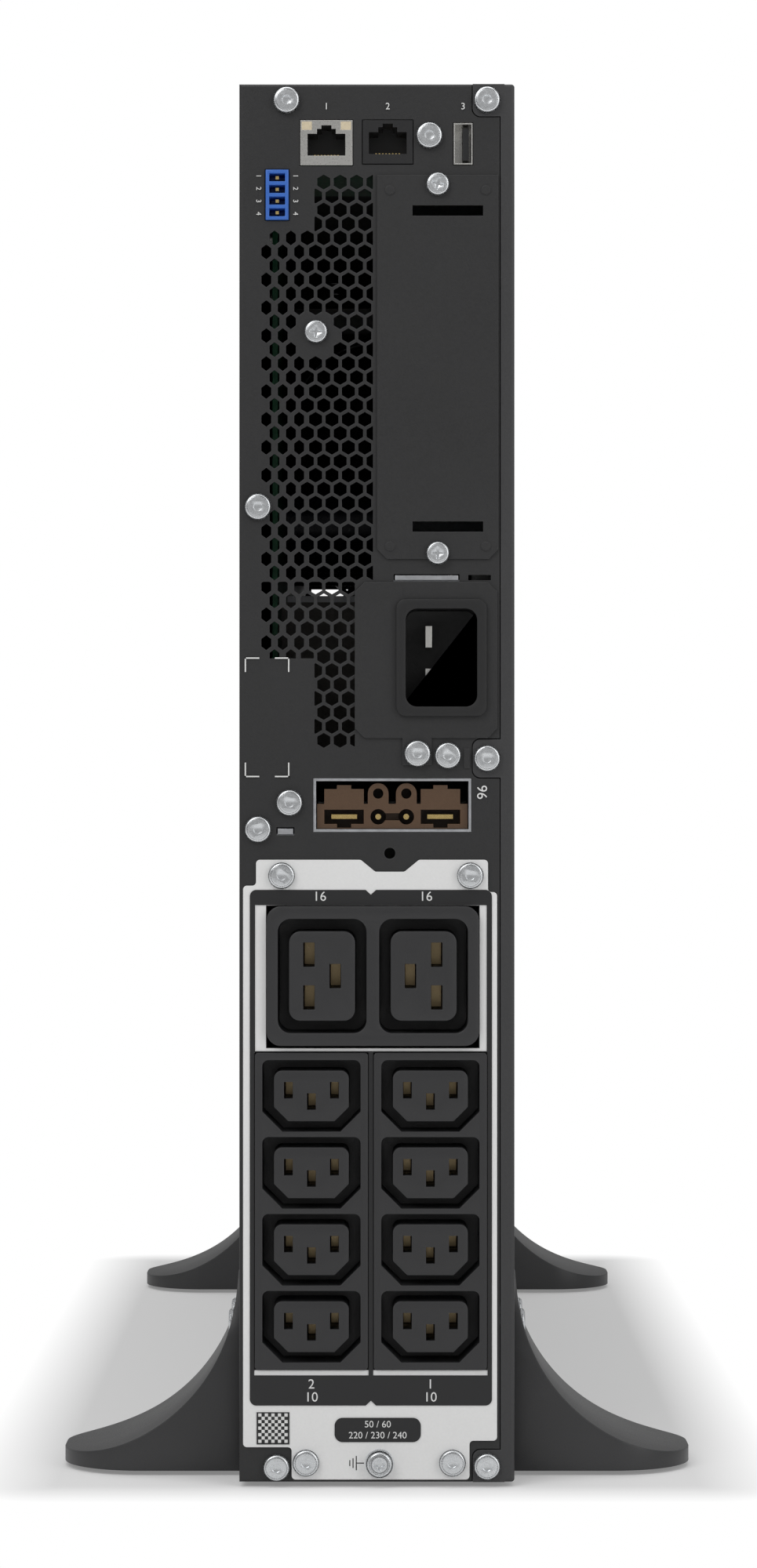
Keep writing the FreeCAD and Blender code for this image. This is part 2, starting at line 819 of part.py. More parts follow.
def chassis_tray():
    """Left wall, top and bottom in one bent sheet, with lips that pass under the cover."""
    body = new_body("tray_body")
    step = EDGE - GAUGE * 2
    outline = [
        (LEFT, BASE),
        (EDGE, BASE),
        (EDGE, FLOOR + PLAY),
        (LIP, FLOOR + PLAY),
        (LIP, UNDER),
        (step, UNDER),
        (step, FLOOR),
        (INNER_LEFT, FLOOR),
        (INNER_LEFT, CEILING),
        (step, CEILING),
        (step, OVER),
        (LIP, OVER),
        (LIP, CEILING - PLAY),
        (EDGE, CEILING - PLAY),
        (EDGE, TOP),
        (LEFT, TOP),
    ]
    sketch = polygon(new_sketch(body, "tray_outline", "y", PANEL), outline)
    pad(body, "tray_pad", sketch, MOUTH - PANEL)
    bend = lambda e: runs_along(e, "y") and lies_at(e, "x", LEFT) and lies_at(e, "z", BASE, TOP)
    round_edges(body, "tray_bends", size("bend_radius"), bend)
    holes = new_sketch(body, "tray_rack_holes", "z", BASE - 1)
    centre_x = (LEFT + EDGE) / 2
    for across in (-0.5, 0.5):
        for along in (0, 1):
            x = centre_x + size("rack_hole_pitch_x") * across
            y = MOUTH - size("rack_hole_setback") - size("rack_hole_pitch_y") * along
            circle(holes, x, y, size("rack_hole_radius"))
    pocket(body, "tray_rack_bores", holes, TOP - BASE + 2)
    foot_holes = foot_hole_sketch(body, "tray_foot_holes", LEFT - 1)
    pocket(body, "tray_foot_bores", foot_holes, GAUGE * 2 + 1)
    return body


FEET_Y = {
    "rear": REAR + size("foot_rear_setback"),
    "front": FRONT - size("foot_front_setback"),
}
FOOT_SCREW_Z = BASE + size("foot_screw_rise")


def foot_hole_sketch(body, name, place_x):
    sketch = new_sketch(body, name, "x", place_x)
    for foot_y in FEET_Y.values():
        for side in (-0.5, 0.5):
            y = foot_y + size("foot_screw_pitch") * side
            circle(sketch, y, FOOT_SCREW_Z, size("lobe_shaft_radius") + HOLE)
    return sketch


def chassis_cover():
    """The right wall, pressed into a shallow pan, with three tabs that reach the rear panel."""
    body = new_body("cover_body")
    outline = rectangle(new_sketch(body, "cover_outline", "x", SEAM), (REAR, MOUTH), (BASE, TOP))
    pad(body, "cover_pad", outline, RIGHT - SEAM)
    outer = lambda e: lies_at(e, "x", RIGHT) and not lies_at(e, "y", MOUTH) or (
        runs_along(e, "x") and lies_at(e, "y", REAR)
    )
    round_edges(body, "cover_bends", size("bend_radius"), outer)
    hollow = new_sketch(body, "cover_hollow", "x", SEAM)
    rectangle(hollow, (PANEL, MOUTH + 1), (FLOOR, CEILING))
    pocket(body, "cover_inside", hollow, RIGHT - GAUGE - SEAM)
    tabs = new_sketch(body, "cover_tab_outline", "y", REAR)
    for low, high in TABS:
        rectangle(tabs, (TAB_LEFT, SEAM + GAUGE), (low, high))
    pad(body, "cover_tabs", tabs, GAUGE)
    corner = lambda e: (
        runs_along(e, "y") and lies_at(e, "x", TAB_LEFT) and not lies_at(e, "z", BASE, TOP)
    )
    round_edges(body, "cover_tab_corners", size("tab_corner"), corner)
    holes = new_sketch(body, "cover_tab_holes", "y", REAR)
    for x, z in tab_screw_places:
        circle(holes, x, z, size("lobe_shaft_radius") + HOLE)
    pocket(body, "cover_tab_bores", holes, GAUGE)
    foot_holes = foot_hole_sketch(body, "cover_foot_holes", SEAM)
    pocket(body, "cover_foot_bores", foot_holes, RIGHT - SEAM + 1)
    return body


keep(chassis_tray(), "chassis_tray")
keep(chassis_cover(), "chassis_cover")

# Battery module, stacked two high from the floor
TRAY_WIDTH = size("block_width") + THIN * 2 + 1
TRAY_X = (MIDDLE_X - TRAY_WIDTH / 2, MIDDLE_X + TRAY_WIDTH / 2)
TRAY_Z = UNDER + size("battery_play")
ROWS = int(sheet.get("block_rows"))
ROW = size("block_length") + size("block_gap")
TRAY_FRONT = MOUTH - GAUGE - 1
TRAY_LENGTH = ROW * ROWS + THIN * 2
TRAY_REAR = TRAY_FRONT - TRAY_LENGTH
BLOCKS_TOP = TRAY_Z + THIN + size("block_height") * 2
SHELF = BLOCKS_TOP + size("battery_play") * 2  # the shelf's underside
BAY_REAR = TRAY_REAR - 6
SHELF_TOP = SHELF + GAUGE


def bay_divider():
    """A shelf over the battery bay with a wall down its rear end."""
    body = new_body("divider_body")
    outline = [
        (BAY_REAR, UNDER),
        (BAY_REAR + GAUGE, UNDER),
        (BAY_REAR + GAUGE, SHELF),
        (MOUTH - GAUGE, SHELF),
        (MOUTH - GAUGE, SHELF_TOP),
        (BAY_REAR, SHELF_TOP),
    ]
    sketch = polygon(new_sketch(body, "divider_outline", "x", INNER_LEFT), outline)
    pad(body, "divider_pad", sketch, LIP - INNER_LEFT)
    return body


FAN_HALF = size("fan_size") / 2
FAN_UPPER_Z = OVER - size("fan_setback") - FAN_HALF
FAN_LOWER_Z = FAN_UPPER_Z - size("fan_size") - size("fan_gap")
FAN_REAR = MOUTH - GAUGE - size("fan_thickness")
FAN_BORE = FAN_HALF - 1.5


def front_frame():
    """The bulkhead behind the front: two fan windows above, the battery mouth below."""
    body = new_body("frame_body")
    outline = rectangle(
        new_sketch(body, "frame_outline", "y", MOUTH - GAUGE), (INNER_LEFT, LIP), (UNDER, OVER)
    )
    pad(body, "frame_pad", outline, GAUGE)
    holes = new_sketch(body, "frame_windows", "y", MOUTH - GAUGE)
    rectangle(holes, wider(TRAY_X, 0.6), (UNDER + 0.0, SHELF))
    for z in (FAN_UPPER_Z, FAN_LOWER_Z):
        circle(holes, MIDDLE_X, z, FAN_BORE - 0.5)
    pocket(body, "frame_mouths", holes, GAUGE)
    return body


def battery_runners():
    """Two guide bars that keep the battery module in line."""
    y = (BAY_REAR + GAUGE, MOUTH - GAUGE)
    z = (UNDER, UNDER + 12)
    left = block("runner_left", (INNER_LEFT, TRAY_X[0] - size("battery_play")), y, z)
    right = block("runner_right", (TRAY_X[1] + size("battery_play"), LIP), y, z)
    return group("battery_runner_pair", left, right)


def battery_tray():
    """An open sheet tray with a strap handle on its front wall."""
    body = new_body("battery_tray_body")
    outline = new_sketch(body, "battery_tray_outline", "z", TRAY_Z)
    rectangle(outline, TRAY_X, (TRAY_REAR, TRAY_FRONT))
    pad(body, "battery_tray_pad", outline, BLOCKS_TOP - TRAY_Z)
    inside = new_sketch(body, "battery_tray_inside", "z", TRAY_Z + THIN)
    rectangle(inside, wider(TRAY_X, -THIN), (TRAY_REAR + THIN, TRAY_FRONT - THIN))
    pocket(body, "battery_tray_hollow", inside, BLOCKS_TOP - TRAY_Z)
    low_side = new_sketch(body, "battery_tray_side", "x", TRAY_X[0] - 1)
    side_top = TRAY_Z + size("block_height") * 0.6
    rectangle(low_side, (TRAY_REAR - 1, TRAY_FRONT - THIN * 6), (side_top, BLOCKS_TOP + 1))
    pocket(body, "battery_tray_sides", low_side, TRAY_WIDTH + 2)
    return body


def battery_handle():
    """A folded strap on the tray's front wall."""
    z = TRAY_Z + size("block_height")
    reach = size("battery_handle_reach")
    outer = block(
        "handle_outer", wider((MIDDLE_X, MIDDLE_X), 24), (TRAY_FRONT, TRAY_FRONT + reach), wider((z, z), 7)
    )
    gap = block(
        "handle_gap", wider((MIDDLE_X, MIDDLE_X), 21.5), (TRAY_FRONT - 1, TRAY_FRONT + reach - 2.5), wider(
            (z, z), 8
        )
    )
    return cut("handle_strap", outer, gap)


def battery_blocks():
    """Sealed blocks with a lid seam and two terminals each."""
    x = wider((MIDDLE_X, MIDDLE_X), size("block_width") / 2)
    y0 = TRAY_REAR + THIN + size("block_gap") / 2
    y = (y0, y0 + size("block_length"))
    z0 = TRAY_Z + THIN
    height = size("block_height")
    lid = 6
    case = block("block_case", x, y, (z0, z0 + height - lid))
    top = block("block_lid", wider(x, -0.6), wider(y, -0.6), (z0 + height - lid, z0 + height - 3))
    posts = [
        rod(f"block_post_{side}", "z", MIDDLE_X + across, y0 + 12, z0 + height - 3, 3.5, 3)
        for side, across in (("left", -25), ("right", 25))
    ]
    one = fuse("battery_block", case, top, *posts)
    copies = [
        copy_of(f"battery_block_{level}_{row}", one, 0, ROW * row, height * level)
        for level in range(2)
        for row in range(ROWS)
    ]
    return group("battery_block_set", *copies)


keep(bay_divider(), "bay_divider")
keep(front_frame(), "front_frame")
keep(battery_runners(), "battery_runners")
keep(battery_tray(), "battery_tray")
keep(battery_handle(), "battery_handle")
keep(battery_blocks(), "battery_blocks")

# ---------------------------------------------------------------------------------------
# Screws
# ---------------------------------------------------------------------------------------


def star(sketch, outer, inner, lobes=6):
    """A six-lobe recess, centred on the sketch."""
    points = []
    for i in range(lobes * 2):
        angle = math.pi * i / lobes
        radius = outer if i % 2 == 0 else inner
        points.append((radius * math.cos(angle), radius * math.sin(angle)))
    return polygon(sketch, points)


def cross(sketch, reach, half_width):
    """A cross recess, centred on the sketch."""
    quarter = [(reach, half_width), (half_width, half_width), (half_width, reach)]
    points = []
    for turn in range(4):
        for u, v in quarter:
            for _ in range(turn):
                u, v = -v, u
            points.append((u, v))
    return polygon(sketch, points)


def screw(name, head_radius, head_height, shaft_radius, shaft_length, draw_recess):
    """A pan head at Y from minus its height to zero, with its shaft beyond."""
    body = new_body(name)
    head = circle(new_sketch(body, f"{name}_head", "y", -head_height), 0, 0, head_radius)
    pad(body, f"{name}_head_pad", head, head_height)
    rim = lambda e: lies_at(e, "y", -head_height)
    round_edges(body, f"{name}_dome", head_height * 0.45, rim)
    shaft = circle(new_sketch(body, f"{name}_shaft", "y", 0), 0, 0, shaft_radius)
    pad(body, f"{name}_shaft_pad", shaft, shaft_length)
    recess = new_sketch(body, f"{name}_recess", "y", -head_height)
    draw_recess(recess, head_radius)
    pocket(body, f"{name}_drive", recess, head_height * 0.6)
    return body


def lobe_drive(sketch, head_radius):
    star(sketch, head_radius * 0.56, head_radius * 0.36)


def cross_drive(sketch, head_radius):
    cross(sketch, head_radius * 0.56, head_radius * 0.14)


LOBE_SCREW = screw(
    "lobe_screw",
    size("lobe_head_radius"),
    size("lobe_head_height"),
    size("lobe_shaft_radius"),
    size("lobe_shaft_length"),
    lobe_drive,
)
CROSS_SCREW = screw(
    "cross_screw",
    size("cross_head_radius"),
    size("cross_head_height"),
    size("cross_shaft_radius"),
    size("cross_shaft_length"),
    cross_drive,
)
EARTH_SCREW_BODY = screw(
    "earth_screw",
    size("earth_head_radius"),
    size("earth_head_height"),
    size("lobe_shaft_radius"),
    size("lobe_shaft_length"),
    cross_drive,
)


def screw_set(name, screw_body, places, surface):
    return [
        copy_of(f"{name}_{i}", screw_body, x, surface, z) for i, (x, z) in enumerate(places, 1)
    ]


keep(
    group(
        "panel_screw_set",
        *screw_set("panel_screw", LOBE_SCREW, lobe_places, REAR),
        *screw_set("plate_screw", LOBE_SCREW, plate_places, SKIN),
        *screw_set("vent_screw_copy", CROSS_SCREW, [vent_screw_place], REAR),
    ),
    "panel_screws",
)
keep(
    group("cover_screw_set", *screw_set("cover_screw", LOBE_SCREW, tab_screw_places, REAR)), "cover_screws"
)
keep(
    group("card_screw_set", *screw_set("card_screw", CROSS_SCREW, card_screw_places, SKIN)), "card_slot_screws"
)

EARTH_SEAT = SKIN - size("earth_washer_height")
keep(
    group("earth_screw_set", *screw_set("earth_screw_copy", EARTH_SCREW_BODY, [earth_place], EARTH_SEAT)), "ground_screw"
)
washer_disc = rod("washer_disc", "y", earth_place[0], EARTH_SEAT, earth_place[1], size(
    "earth_washer_radius"
),
                  size("earth_washer_height"))
washer_bore = rod("washer_bore", "y", earth_place[0], EARTH_SEAT - 1, earth_place[1],
                  size("lobe_shaft_radius") + HOLE, size("earth_washer_height") + 2)
keep(cut("washer_ring", washer_disc, washer_bore), "ground_washer")

# ---------------------------------------------------------------------------------------
# Tower feet
# ---------------------------------------------------------------------------------------

FOOT_TOP = BASE + size("foot_toe_height") + size("foot_arc_radius")
TOE = RIGHT + size("foot_reach")
ARC_X = RIGHT + size("foot_neck") + size("foot_arc_radius")
HALF_FOOT = size("foot_depth") / 2
PAD_PLACES = [RIGHT + size("foot_pad_inset"), TOE - size("foot_toe_pad_inset")]


def foot_form(name, inset, centre_y):
    """A tongue-shaped wedge under a concave flank, shrunk by an inset."""
    x = (RIGHT + inset, TOE - inset)
    y = (centre_y - HALF_FOOT + inset, centre_y + HALF_FOOT - inset)
    # a shrunk form runs on below the floor, so that it leaves the foot open beneath
    z = (BASE - inset, FOOT_TOP - inset)
    stone = new_body(f"{name}_stone")
    pad(
        stone, f"{name}_stone_pad", rectangle(new_sketch(stone, f"{name}_side", "x", x[0]), y, z), x[1] - x[0]
    )
    brow = lambda e: runs_along(e, "x") and lies_at(e, "z", z[1])
    round_edges(stone, f"{name}_brow", size("foot_brow_radius") - inset, brow)
    tongue = new_body(f"{name}_tongue")
    pad(
        tongue, f"{name}_tongue_pad", rectangle(new_sketch(tongue, f"{name}_plan", "z", z[0]), x, y), z[1] - z[0]
    )
    tip = lambda e: runs_along(e, "z") and lies_at(e, "x", x[1])
    round_edges(tongue, f"{name}_tip", size("foot_toe_radius") - inset, tip)
    both = doc.addObject("Part::Common", f"{name}_wedge")
    both.Base, both.Tool = stone, tongue
    flank = rod(
        f"{name}_flank", "y", ARC_X, y[0] - 1, FOOT_TOP, size("foot_arc_radius") + inset, y[1] - y[0] + 2
    )
    return cut(f"{name}_form", both, flank)


def foot(name, centre_y):
    outer = foot_form(f"{name}_outer", length(0), centre_y)
    inner = foot_form(f"{name}_inner", size("foot_wall"), centre_y)
    z = (BASE, FOOT_TOP)
    rib = block(f"{name}_rib", (RIGHT, TOE), wider((centre_y, centre_y), 1.2), z)
    posts = [
        rod(f"{name}_post_{i}", "z", x, centre_y, BASE, size("foot_pad_radius") + 1.5, FOOT_TOP - BASE)
        for i, x in enumerate(PAD_PLACES)
    ]
    hollow = cut(f"{name}_hollow", inner, rib, *posts)
    tools = [hollow]
    face = RIGHT + size("foot_screw_recess")
    for i, side in enumerate((-0.5, 0.5)):
        y = centre_y + size("foot_screw_pitch") * side
        sink = size("lobe_head_radius") + 0.6
        tools.append(rod(f"{name}_sink_{i}", "x", face, y, FOOT_SCREW_Z, sink, size("foot_reach")))
        bore = size("lobe_shaft_radius") + HOLE
        tools.append(rod(f"{name}_bore_{i}", "x", RIGHT - 1, y, FOOT_SCREW_Z, bore, size("foot_reach")))
    return cut(f"{name}_whole", outer, *tools)


HALF_TURN = Rotation(Vector(0, 0, 1), 180)
FOOT_FORM = foot("foot", FEET_Y["rear"])
for end, foot_y in FEET_Y.items():
    right = copy_of(f"foot_{end}_right_copy", FOOT_FORM, 0, foot_y - FEET_Y["rear"], 0)
    left = copy_of(f"foot_{end}_left_copy", FOOT_FORM, 0, foot_y + FEET_Y["rear"], 0, HALF_TURN)
    keep(group(f"foot_{end}_right_set", right), f"foot_{end}_right")
    keep(group(f"foot_{end}_left_set", left), f"foot_{end}_left")

foot_screws = []
foot_pads = []
for side_name, sign in (("left", -1), ("right", 1)):
    for end, foot_y in FEET_Y.items():
        for i, offset in enumerate((-0.5, 0.5)):
            y = foot_y + size("foot_screw_pitch") * offset
            x = (RIGHT + size("foot_screw_recess")) * sign
            turn = Rotation(Vector(0, 0, 1), 90 * sign)
            foot_screws.append(
                copy_of(f"foot_screw_{side_name}_{end}_{i}", LOBE_SCREW, x, y, FOOT_SCREW_Z, turn)
            )
        for i, x in enumerate(PAD_PLACES):
            foot_pads.append(
                rod(
                    f"foot_pad_{side_name}_{end}_{i}", "z", x * sign, foot_y, 0, size("foot_pad_radius"), BASE
                )
            )
keep(group("foot_screw_set", *foot_screws), "foot_screws")
keep(group("foot_pad_set", *foot_pads), "foot_pads")

# ---------------------------------------------------------------------------------------
# Signal ports
# ---------------------------------------------------------------------------------------

JACK_GAP = size("jack_gap")
JACK_FRONT = REAR - 0.3
JACK_Y = (JACK_FRONT, JACK_FRONT + size("jack_depth"))


def jack_cavity(name, x, z_base):
    """The plug's way in: a square mouth with a stepped key above it."""
    middle = (x[0] + x[1]) / 2
    half = size("jack_cavity_width") / 2
    floor = z_base + size("jack_sill")
    top = floor + size("jack_cavity_height")
    y = (JACK_FRONT - 1, JACK_FRONT + size("jack_cavity_depth"))
    mouth = block(f"{name}_mouth", (middle - half, middle + half), y, (floor, top))
    step = block(f"{name}_step", wider((middle, middle), half * 0.5), y, (top - 1, top + 1.5))
    key = block(f"{name}_key", wider((middle, middle), half * 0.27), y, (top, top + 2.6))
    return [mouth, step, key]


def jack_contacts(name, x, z_base):
    """Eight gold springs lying along the mouth's floor."""
    middle = (x[0] + x[1]) / 2
    floor = z_base + size("jack_sill")
    y = (JACK_FRONT + 2.0, JACK_FRONT + size("jack_cavity_depth"))
    return [
        block(
            f"{name}_{i}", wider((middle + 1.02 * (i - 3.5), middle + 1.02 * (i - 3.5)), 0.24), y, (floor, floor + 0.5)
        )
        for i in range(8)
    ]


network_outer = block("network_outer", wider(NETWORK_X, -JACK_GAP), JACK_Y, wider(NETWORK_Z, -JACK_GAP))
network_skin = JACK_GAP + size("jack_skin")
network_inside_y = (JACK_FRONT + size("jack_skin"), JACK_Y[1] + 1)
network_inside = block(
    "network_inside", wider(NETWORK_X, -network_skin), network_inside_y, wider(NETWORK_Z, -network_skin)
)
network_core_y = (network_inside_y[0], JACK_Y[1])
network_core = block(
    "network_core", wider(NETWORK_X, -network_skin), network_core_y, wider(NETWORK_Z, -network_skin)
)
lamp_z = (NETWORK_Z[1] - network_skin - 2.6, NETWORK_Z[1] - network_skin)
lamp_y = (JACK_FRONT, JACK_FRONT + 3)
network_lamps = [
    block("lamp_left", (NETWORK_X[0] + network_skin, NETWORK_X[0] + network_skin + 3.2), lamp_y, lamp_z),
    block("lamp_right", (NETWORK_X[1] - network_skin - 3.2, NETWORK_X[1] - network_skin), lamp_y, lamp_z),
]
network_ways = [*jack_cavity("network", NETWORK_X, NETWORK_Z[0]), *network_lamps]
keep(cut("network_shell_tube", network_outer, network_inside, *network_ways), "network_jack_shell")
keep(cut("network_insert_form", network_core, *network_ways), "network_jack_insert")
keep(group("network_lamp_pair", *network_lamps), "network_jack_lamps")

serial_core = block("serial_core", wider(SERIAL_X, -JACK_GAP), JACK_Y, wider(SERIAL_Z, -JACK_GAP))
keep(cut("serial_form", serial_core, *jack_cavity("serial", SERIAL_X, SERIAL_Z[0])), "serial_jack")
contacts = [
    *jack_contacts("network_contact", NETWORK_X, NETWORK_Z[0]),
    *jack_contacts("serial_contact", SERIAL_X, SERIAL_Z[0]),
]

usb_skin = JACK_GAP + size("usb_skin")
usb_y = (JACK_FRONT, JACK_FRONT + size("usb_depth"))
usb_outer = block("usb_outer", wider(USB_X, -JACK_GAP), usb_y, wider(USB_Z, -JACK_GAP))
usb_inside = block(
    "usb_inside", wider(USB_X, -usb_skin), (usb_y[0] - 1, usb_y[1] - 2), wider(USB_Z, -usb_skin)
)
keep(cut("usb_tube", usb_outer, usb_inside), "usb_shell")
usb_middle = (USB_X[0] + USB_X[1]) / 2
keep(
    block(
        "usb_blade", (usb_middle - 0.1, usb_middle + 1.8), (usb_y[0] + 1.2, usb_y[1] - 2), wider(USB_Z, -1.6)
    ),
    "usb_tongue",
)


def terminal_cells():
    """Square cells one above another, and the pin in each."""
    ways = int(sheet.get("terminal_ways"))
    wall = size("terminal_wall")
    x = wider(TERMINAL_X, -JACK_GAP - wall)
    z = wider(TERMINAL_Z, -JACK_GAP - wall)
    pitch = (z[1] - z[0] + wall) / ways
    cells = []
    pins = []
    for i in range(ways):
        low = z[0] + pitch * i
        high = low + pitch - wall
        middle = (low + high) / 2
        cells.append(
            block(
                f"terminal_cell_{i}", x, (JACK_FRONT - 2, JACK_FRONT + size("terminal_depth") - 3), (low, high)
            )
        )
        centre = (x[0] + x[1]) / 2
        pins.append(
            block(
                f"terminal_pin_{i}",
                wider((centre, centre), 0.5),
                (JACK_FRONT + 1, JACK_FRONT + size("terminal_depth") - 3),
                wider((middle, middle), 0.5),
            )
        )
    return cells, pins


terminal_y = (JACK_FRONT - 0.5, JACK_FRONT + size("terminal_depth"))
terminal_block = block(
    "terminal_block", wider(TERMINAL_X, -JACK_GAP), terminal_y, wider(TERMINAL_Z, -JACK_GAP)
)
cells, pins = terminal_cells()
keep(cut("terminal_form", terminal_block, *cells), "terminal_header")
contacts += pins

# The board that carries the signal ports, behind and below them
IO_BOARD_TOP = NETWORK_Z[0] + JACK_GAP
io_board = block(
    "io_board_sheet",
    (TERMINAL_X[1] + 0.6, USB_X[1] + 2),
    (PANEL + 0.6, PANEL + 58),
    (IO_BOARD_TOP - size("board_thickness"), IO_BOARD_TOP),
)
keep(io_board, "io_board")

# ---------------------------------------------------------------------------------------
# Management card slot
# ---------------------------------------------------------------------------------------


def card_slot_cover():
    body = new_body("card_cover_body")
    x, z = CARD_X, CARD_Z
    corner = 3.0
    outline = [
        (x[0], z[0] + corner),
        (x[0] + corner, z[0]),
        (x[1] - corner, z[0]),
        (x[1], z[0] + corner),
        (x[1], z[1]),
        (x[0], z[1]),
    ]
    pad(body, "card_cover_pad", polygon(new_sketch(body, "card_cover_outline", "y", SKIN), outline), THIN)
    slots = new_sketch(body, "card_cover_slots", "y", SKIN)
    width = size("card_slot_width") / 2
    height = size("card_slot_height")
    upper = z[1] - size("card_slot_drop")
    lower = z[0] + size("card_slot_drop") - 1
    slot_x = wider((CARD_MIDDLE + 3.1, CARD_MIDDLE + 3.1), width)
    rectangle(slots, slot_x, (upper - height, upper))
    rectangle(slots, slot_x, (lower, lower + height))
    pocket(body, "card_cover_openings", slots, THIN)
    bores = new_sketch(body, "card_cover_holes", "y", SKIN)
    for place_x, place_z in card_screw_places:
        circle(bores, place_x, place_z, size("cross_shaft_radius") + HOLE)
    pocket(body, "card_cover_bores", bores, THIN)
    dots = new_sketch(body, "card_cover_dots", "y", SKIN - 0.4)
    for dot_x in (x[0] + 3.9, x[1] - 3.9):
        for dot_z in (z[0] + 3.9, z[1] - 4.7):
            circle(dots, dot_x, dot_z, 1.4)
    pad(body, "card_cover_bosses", dots, 0.4)
    return body


def card_cage():
    """A five-sided sheet box that guides a management card."""
    body = new_body("card_cage_body")
    x = wider(CARD_X, -size("card_cover_margin") + 1)
    z = wider(CARD_Z, -size("card_screw_drop") * 2 + 1)
    pad(body, "cage_pad", rectangle(new_sketch(body, "cage_outline", "y", PANEL), x, z), size("card_depth"))
    inside = rectangle(new_sketch(body, "cage_inside", "y", PANEL), wider(x, -THIN), wider(z, -THIN))
    pocket(body, "cage_hollow", inside, size("card_depth") - THIN)
    return body


keep(card_slot_cover(), "card_slot_cover")
keep(card_cage(), "card_cage")

# ---------------------------------------------------------------------------------------
# Mains inlet on its plate
# ---------------------------------------------------------------------------------------


def inlet_plate():
    body = new_body("inlet_plate_body")
    (x0, x1), (z0, z1) = PLATE_X, PLATE_Z
    tab_x, tab_z = inlet_tab_place
    shoulder = 3.0
    outline = [
        (x0 + shoulder, z0),
        (tab_x - 4.6, z0),
        (tab_x - 4.6, tab_z - 3.6),
        (tab_x + 4.4, tab_z - 3.6),
        (tab_x + 4.4, z0),
        (x1 - shoulder, z0),
        (x1, z0 + shoulder),
        (x1, z1 - shoulder),
        (x1 - shoulder, z1),
        (x0 + shoulder, z1),
        (x0, z1 - shoulder),
        (x0, z0 + shoulder),
    ]
    pad(body, "inlet_plate_pad", polygon(new_sketch(body, "inlet_plate_outline", "y", SKIN), outline), THIN)
    mouth = new_sketch(body, "inlet_plate_mouth", "y", SKIN)
    rectangle(mouth, wider(INLET_X, -1), wider(INLET_Z, -1))
    circle(mouth, tab_x, tab_z, size("lobe_shaft_radius") + HOLE)
    pocket(body, "inlet_plate_opening", mouth, THIN)
    return body


def inlet_body():
    """A flanged moulding round a deep pocket for a high-current plug."""
    lip = size("inlet_lip")
    face = SKIN - lip
    flange = rounded_plate("inlet_flange", "y", face, INLET_X, INLET_Z, lip, 3.0)
    box = block(
        "inlet_box",
        wider(INLET_X, -1.2),
        (SKIN - 0.1, SKIN + size("inlet_body_depth")),
        wider(INLET_Z, -1.2),
    )
    x, z = INLET_MIDDLE
    cavity = rounded_plate(
        "inlet_cavity",
        "y",
        face,
        wider((x, x), size("inlet_cavity_width") / 2),
        wider((z, z), size("inlet_cavity_height") / 2),
        size("inlet_cavity_depth") + lip,
        size("inlet_cavity_corner"),
    )
    return cut("inlet_form", fuse("inlet_outer", flange, box), cavity)


def inlet_pins():
    x, z = INLET_MIDDLE
    back = SKIN + size("inlet_cavity_depth")
    y = (back - size("inlet_pin_length"), back)
    half = size("inlet_pin_width") / 2
    tall = size("inlet_pin_height") / 2
    offset = size("inlet_pin_offset") / 2
    pins = []
    for i, rise in enumerate((-0.5, 0.5)):
        pin_z = z + size("inlet_pin_pitch") * rise
        pins.append(
            block(f"inlet_pin_{i}", wider((x - offset, x - offset), half), y, wider((pin_z, pin_z), tall))
        )
    pins.append(
        block("inlet_pin_earth", wider((x + offset, x + offset), half), (y[0] - 1.5, y[1]), wider((z, z), tall))
    )
    return group("inlet_pin_set", *pins)


keep(inlet_plate(), "inlet_plate")
keep(inlet_body(), "inlet_body")
keep(inlet_pins(), "inlet_pins")

# ---------------------------------------------------------------------------------------
# External battery port
# ---------------------------------------------------------------------------------------

PORT_MIDDLE = (PORT_X[0] + PORT_X[1]) / 2
PORT_CENTRE_Z = (PORT_Z[0] + PORT_Z[1]) / 2
SLEEVE_Y = (REAR, REAR + size("port_sleeve_depth"))
HOUSING_Y = (REAR + size("port_case_depth"), SLEEVE_Y[1] - 1)

sleeve_outer = block("sleeve_outer", wider(PORT_X, -0.1), SLEEVE_Y, wider(PORT_Z, -0.1))
sleeve_inner = block(
    "sleeve_inner", wider(PORT_X, -0.1 - THIN), (REAR - 1, SLEEVE_Y[1] + 1), wider(PORT_Z, -0.1 - THIN)
)
keep(cut("sleeve_tube", sleeve_outer, sleeve_inner), "battery_port_tunnel")


PORT_HALF_WIDE = size("port_wide_width") / 2
PORT_HALF_TALL = size("port_wide_height") / 2
PORT_UPPER = PORT_CENTRE_Z + size("port_row_rise")
PORT_LOWER = PORT_CENTRE_Z - size("port_row_rise")
PORT_ENDS = [PORT_MIDDLE - size("port_wide_reach"), PORT_MIDDLE + size("port_wide_reach")]
PORT_BARRELS = [PORT_MIDDLE - size("port_barrel_reach"), PORT_MIDDLE + size("port_barrel_reach")]


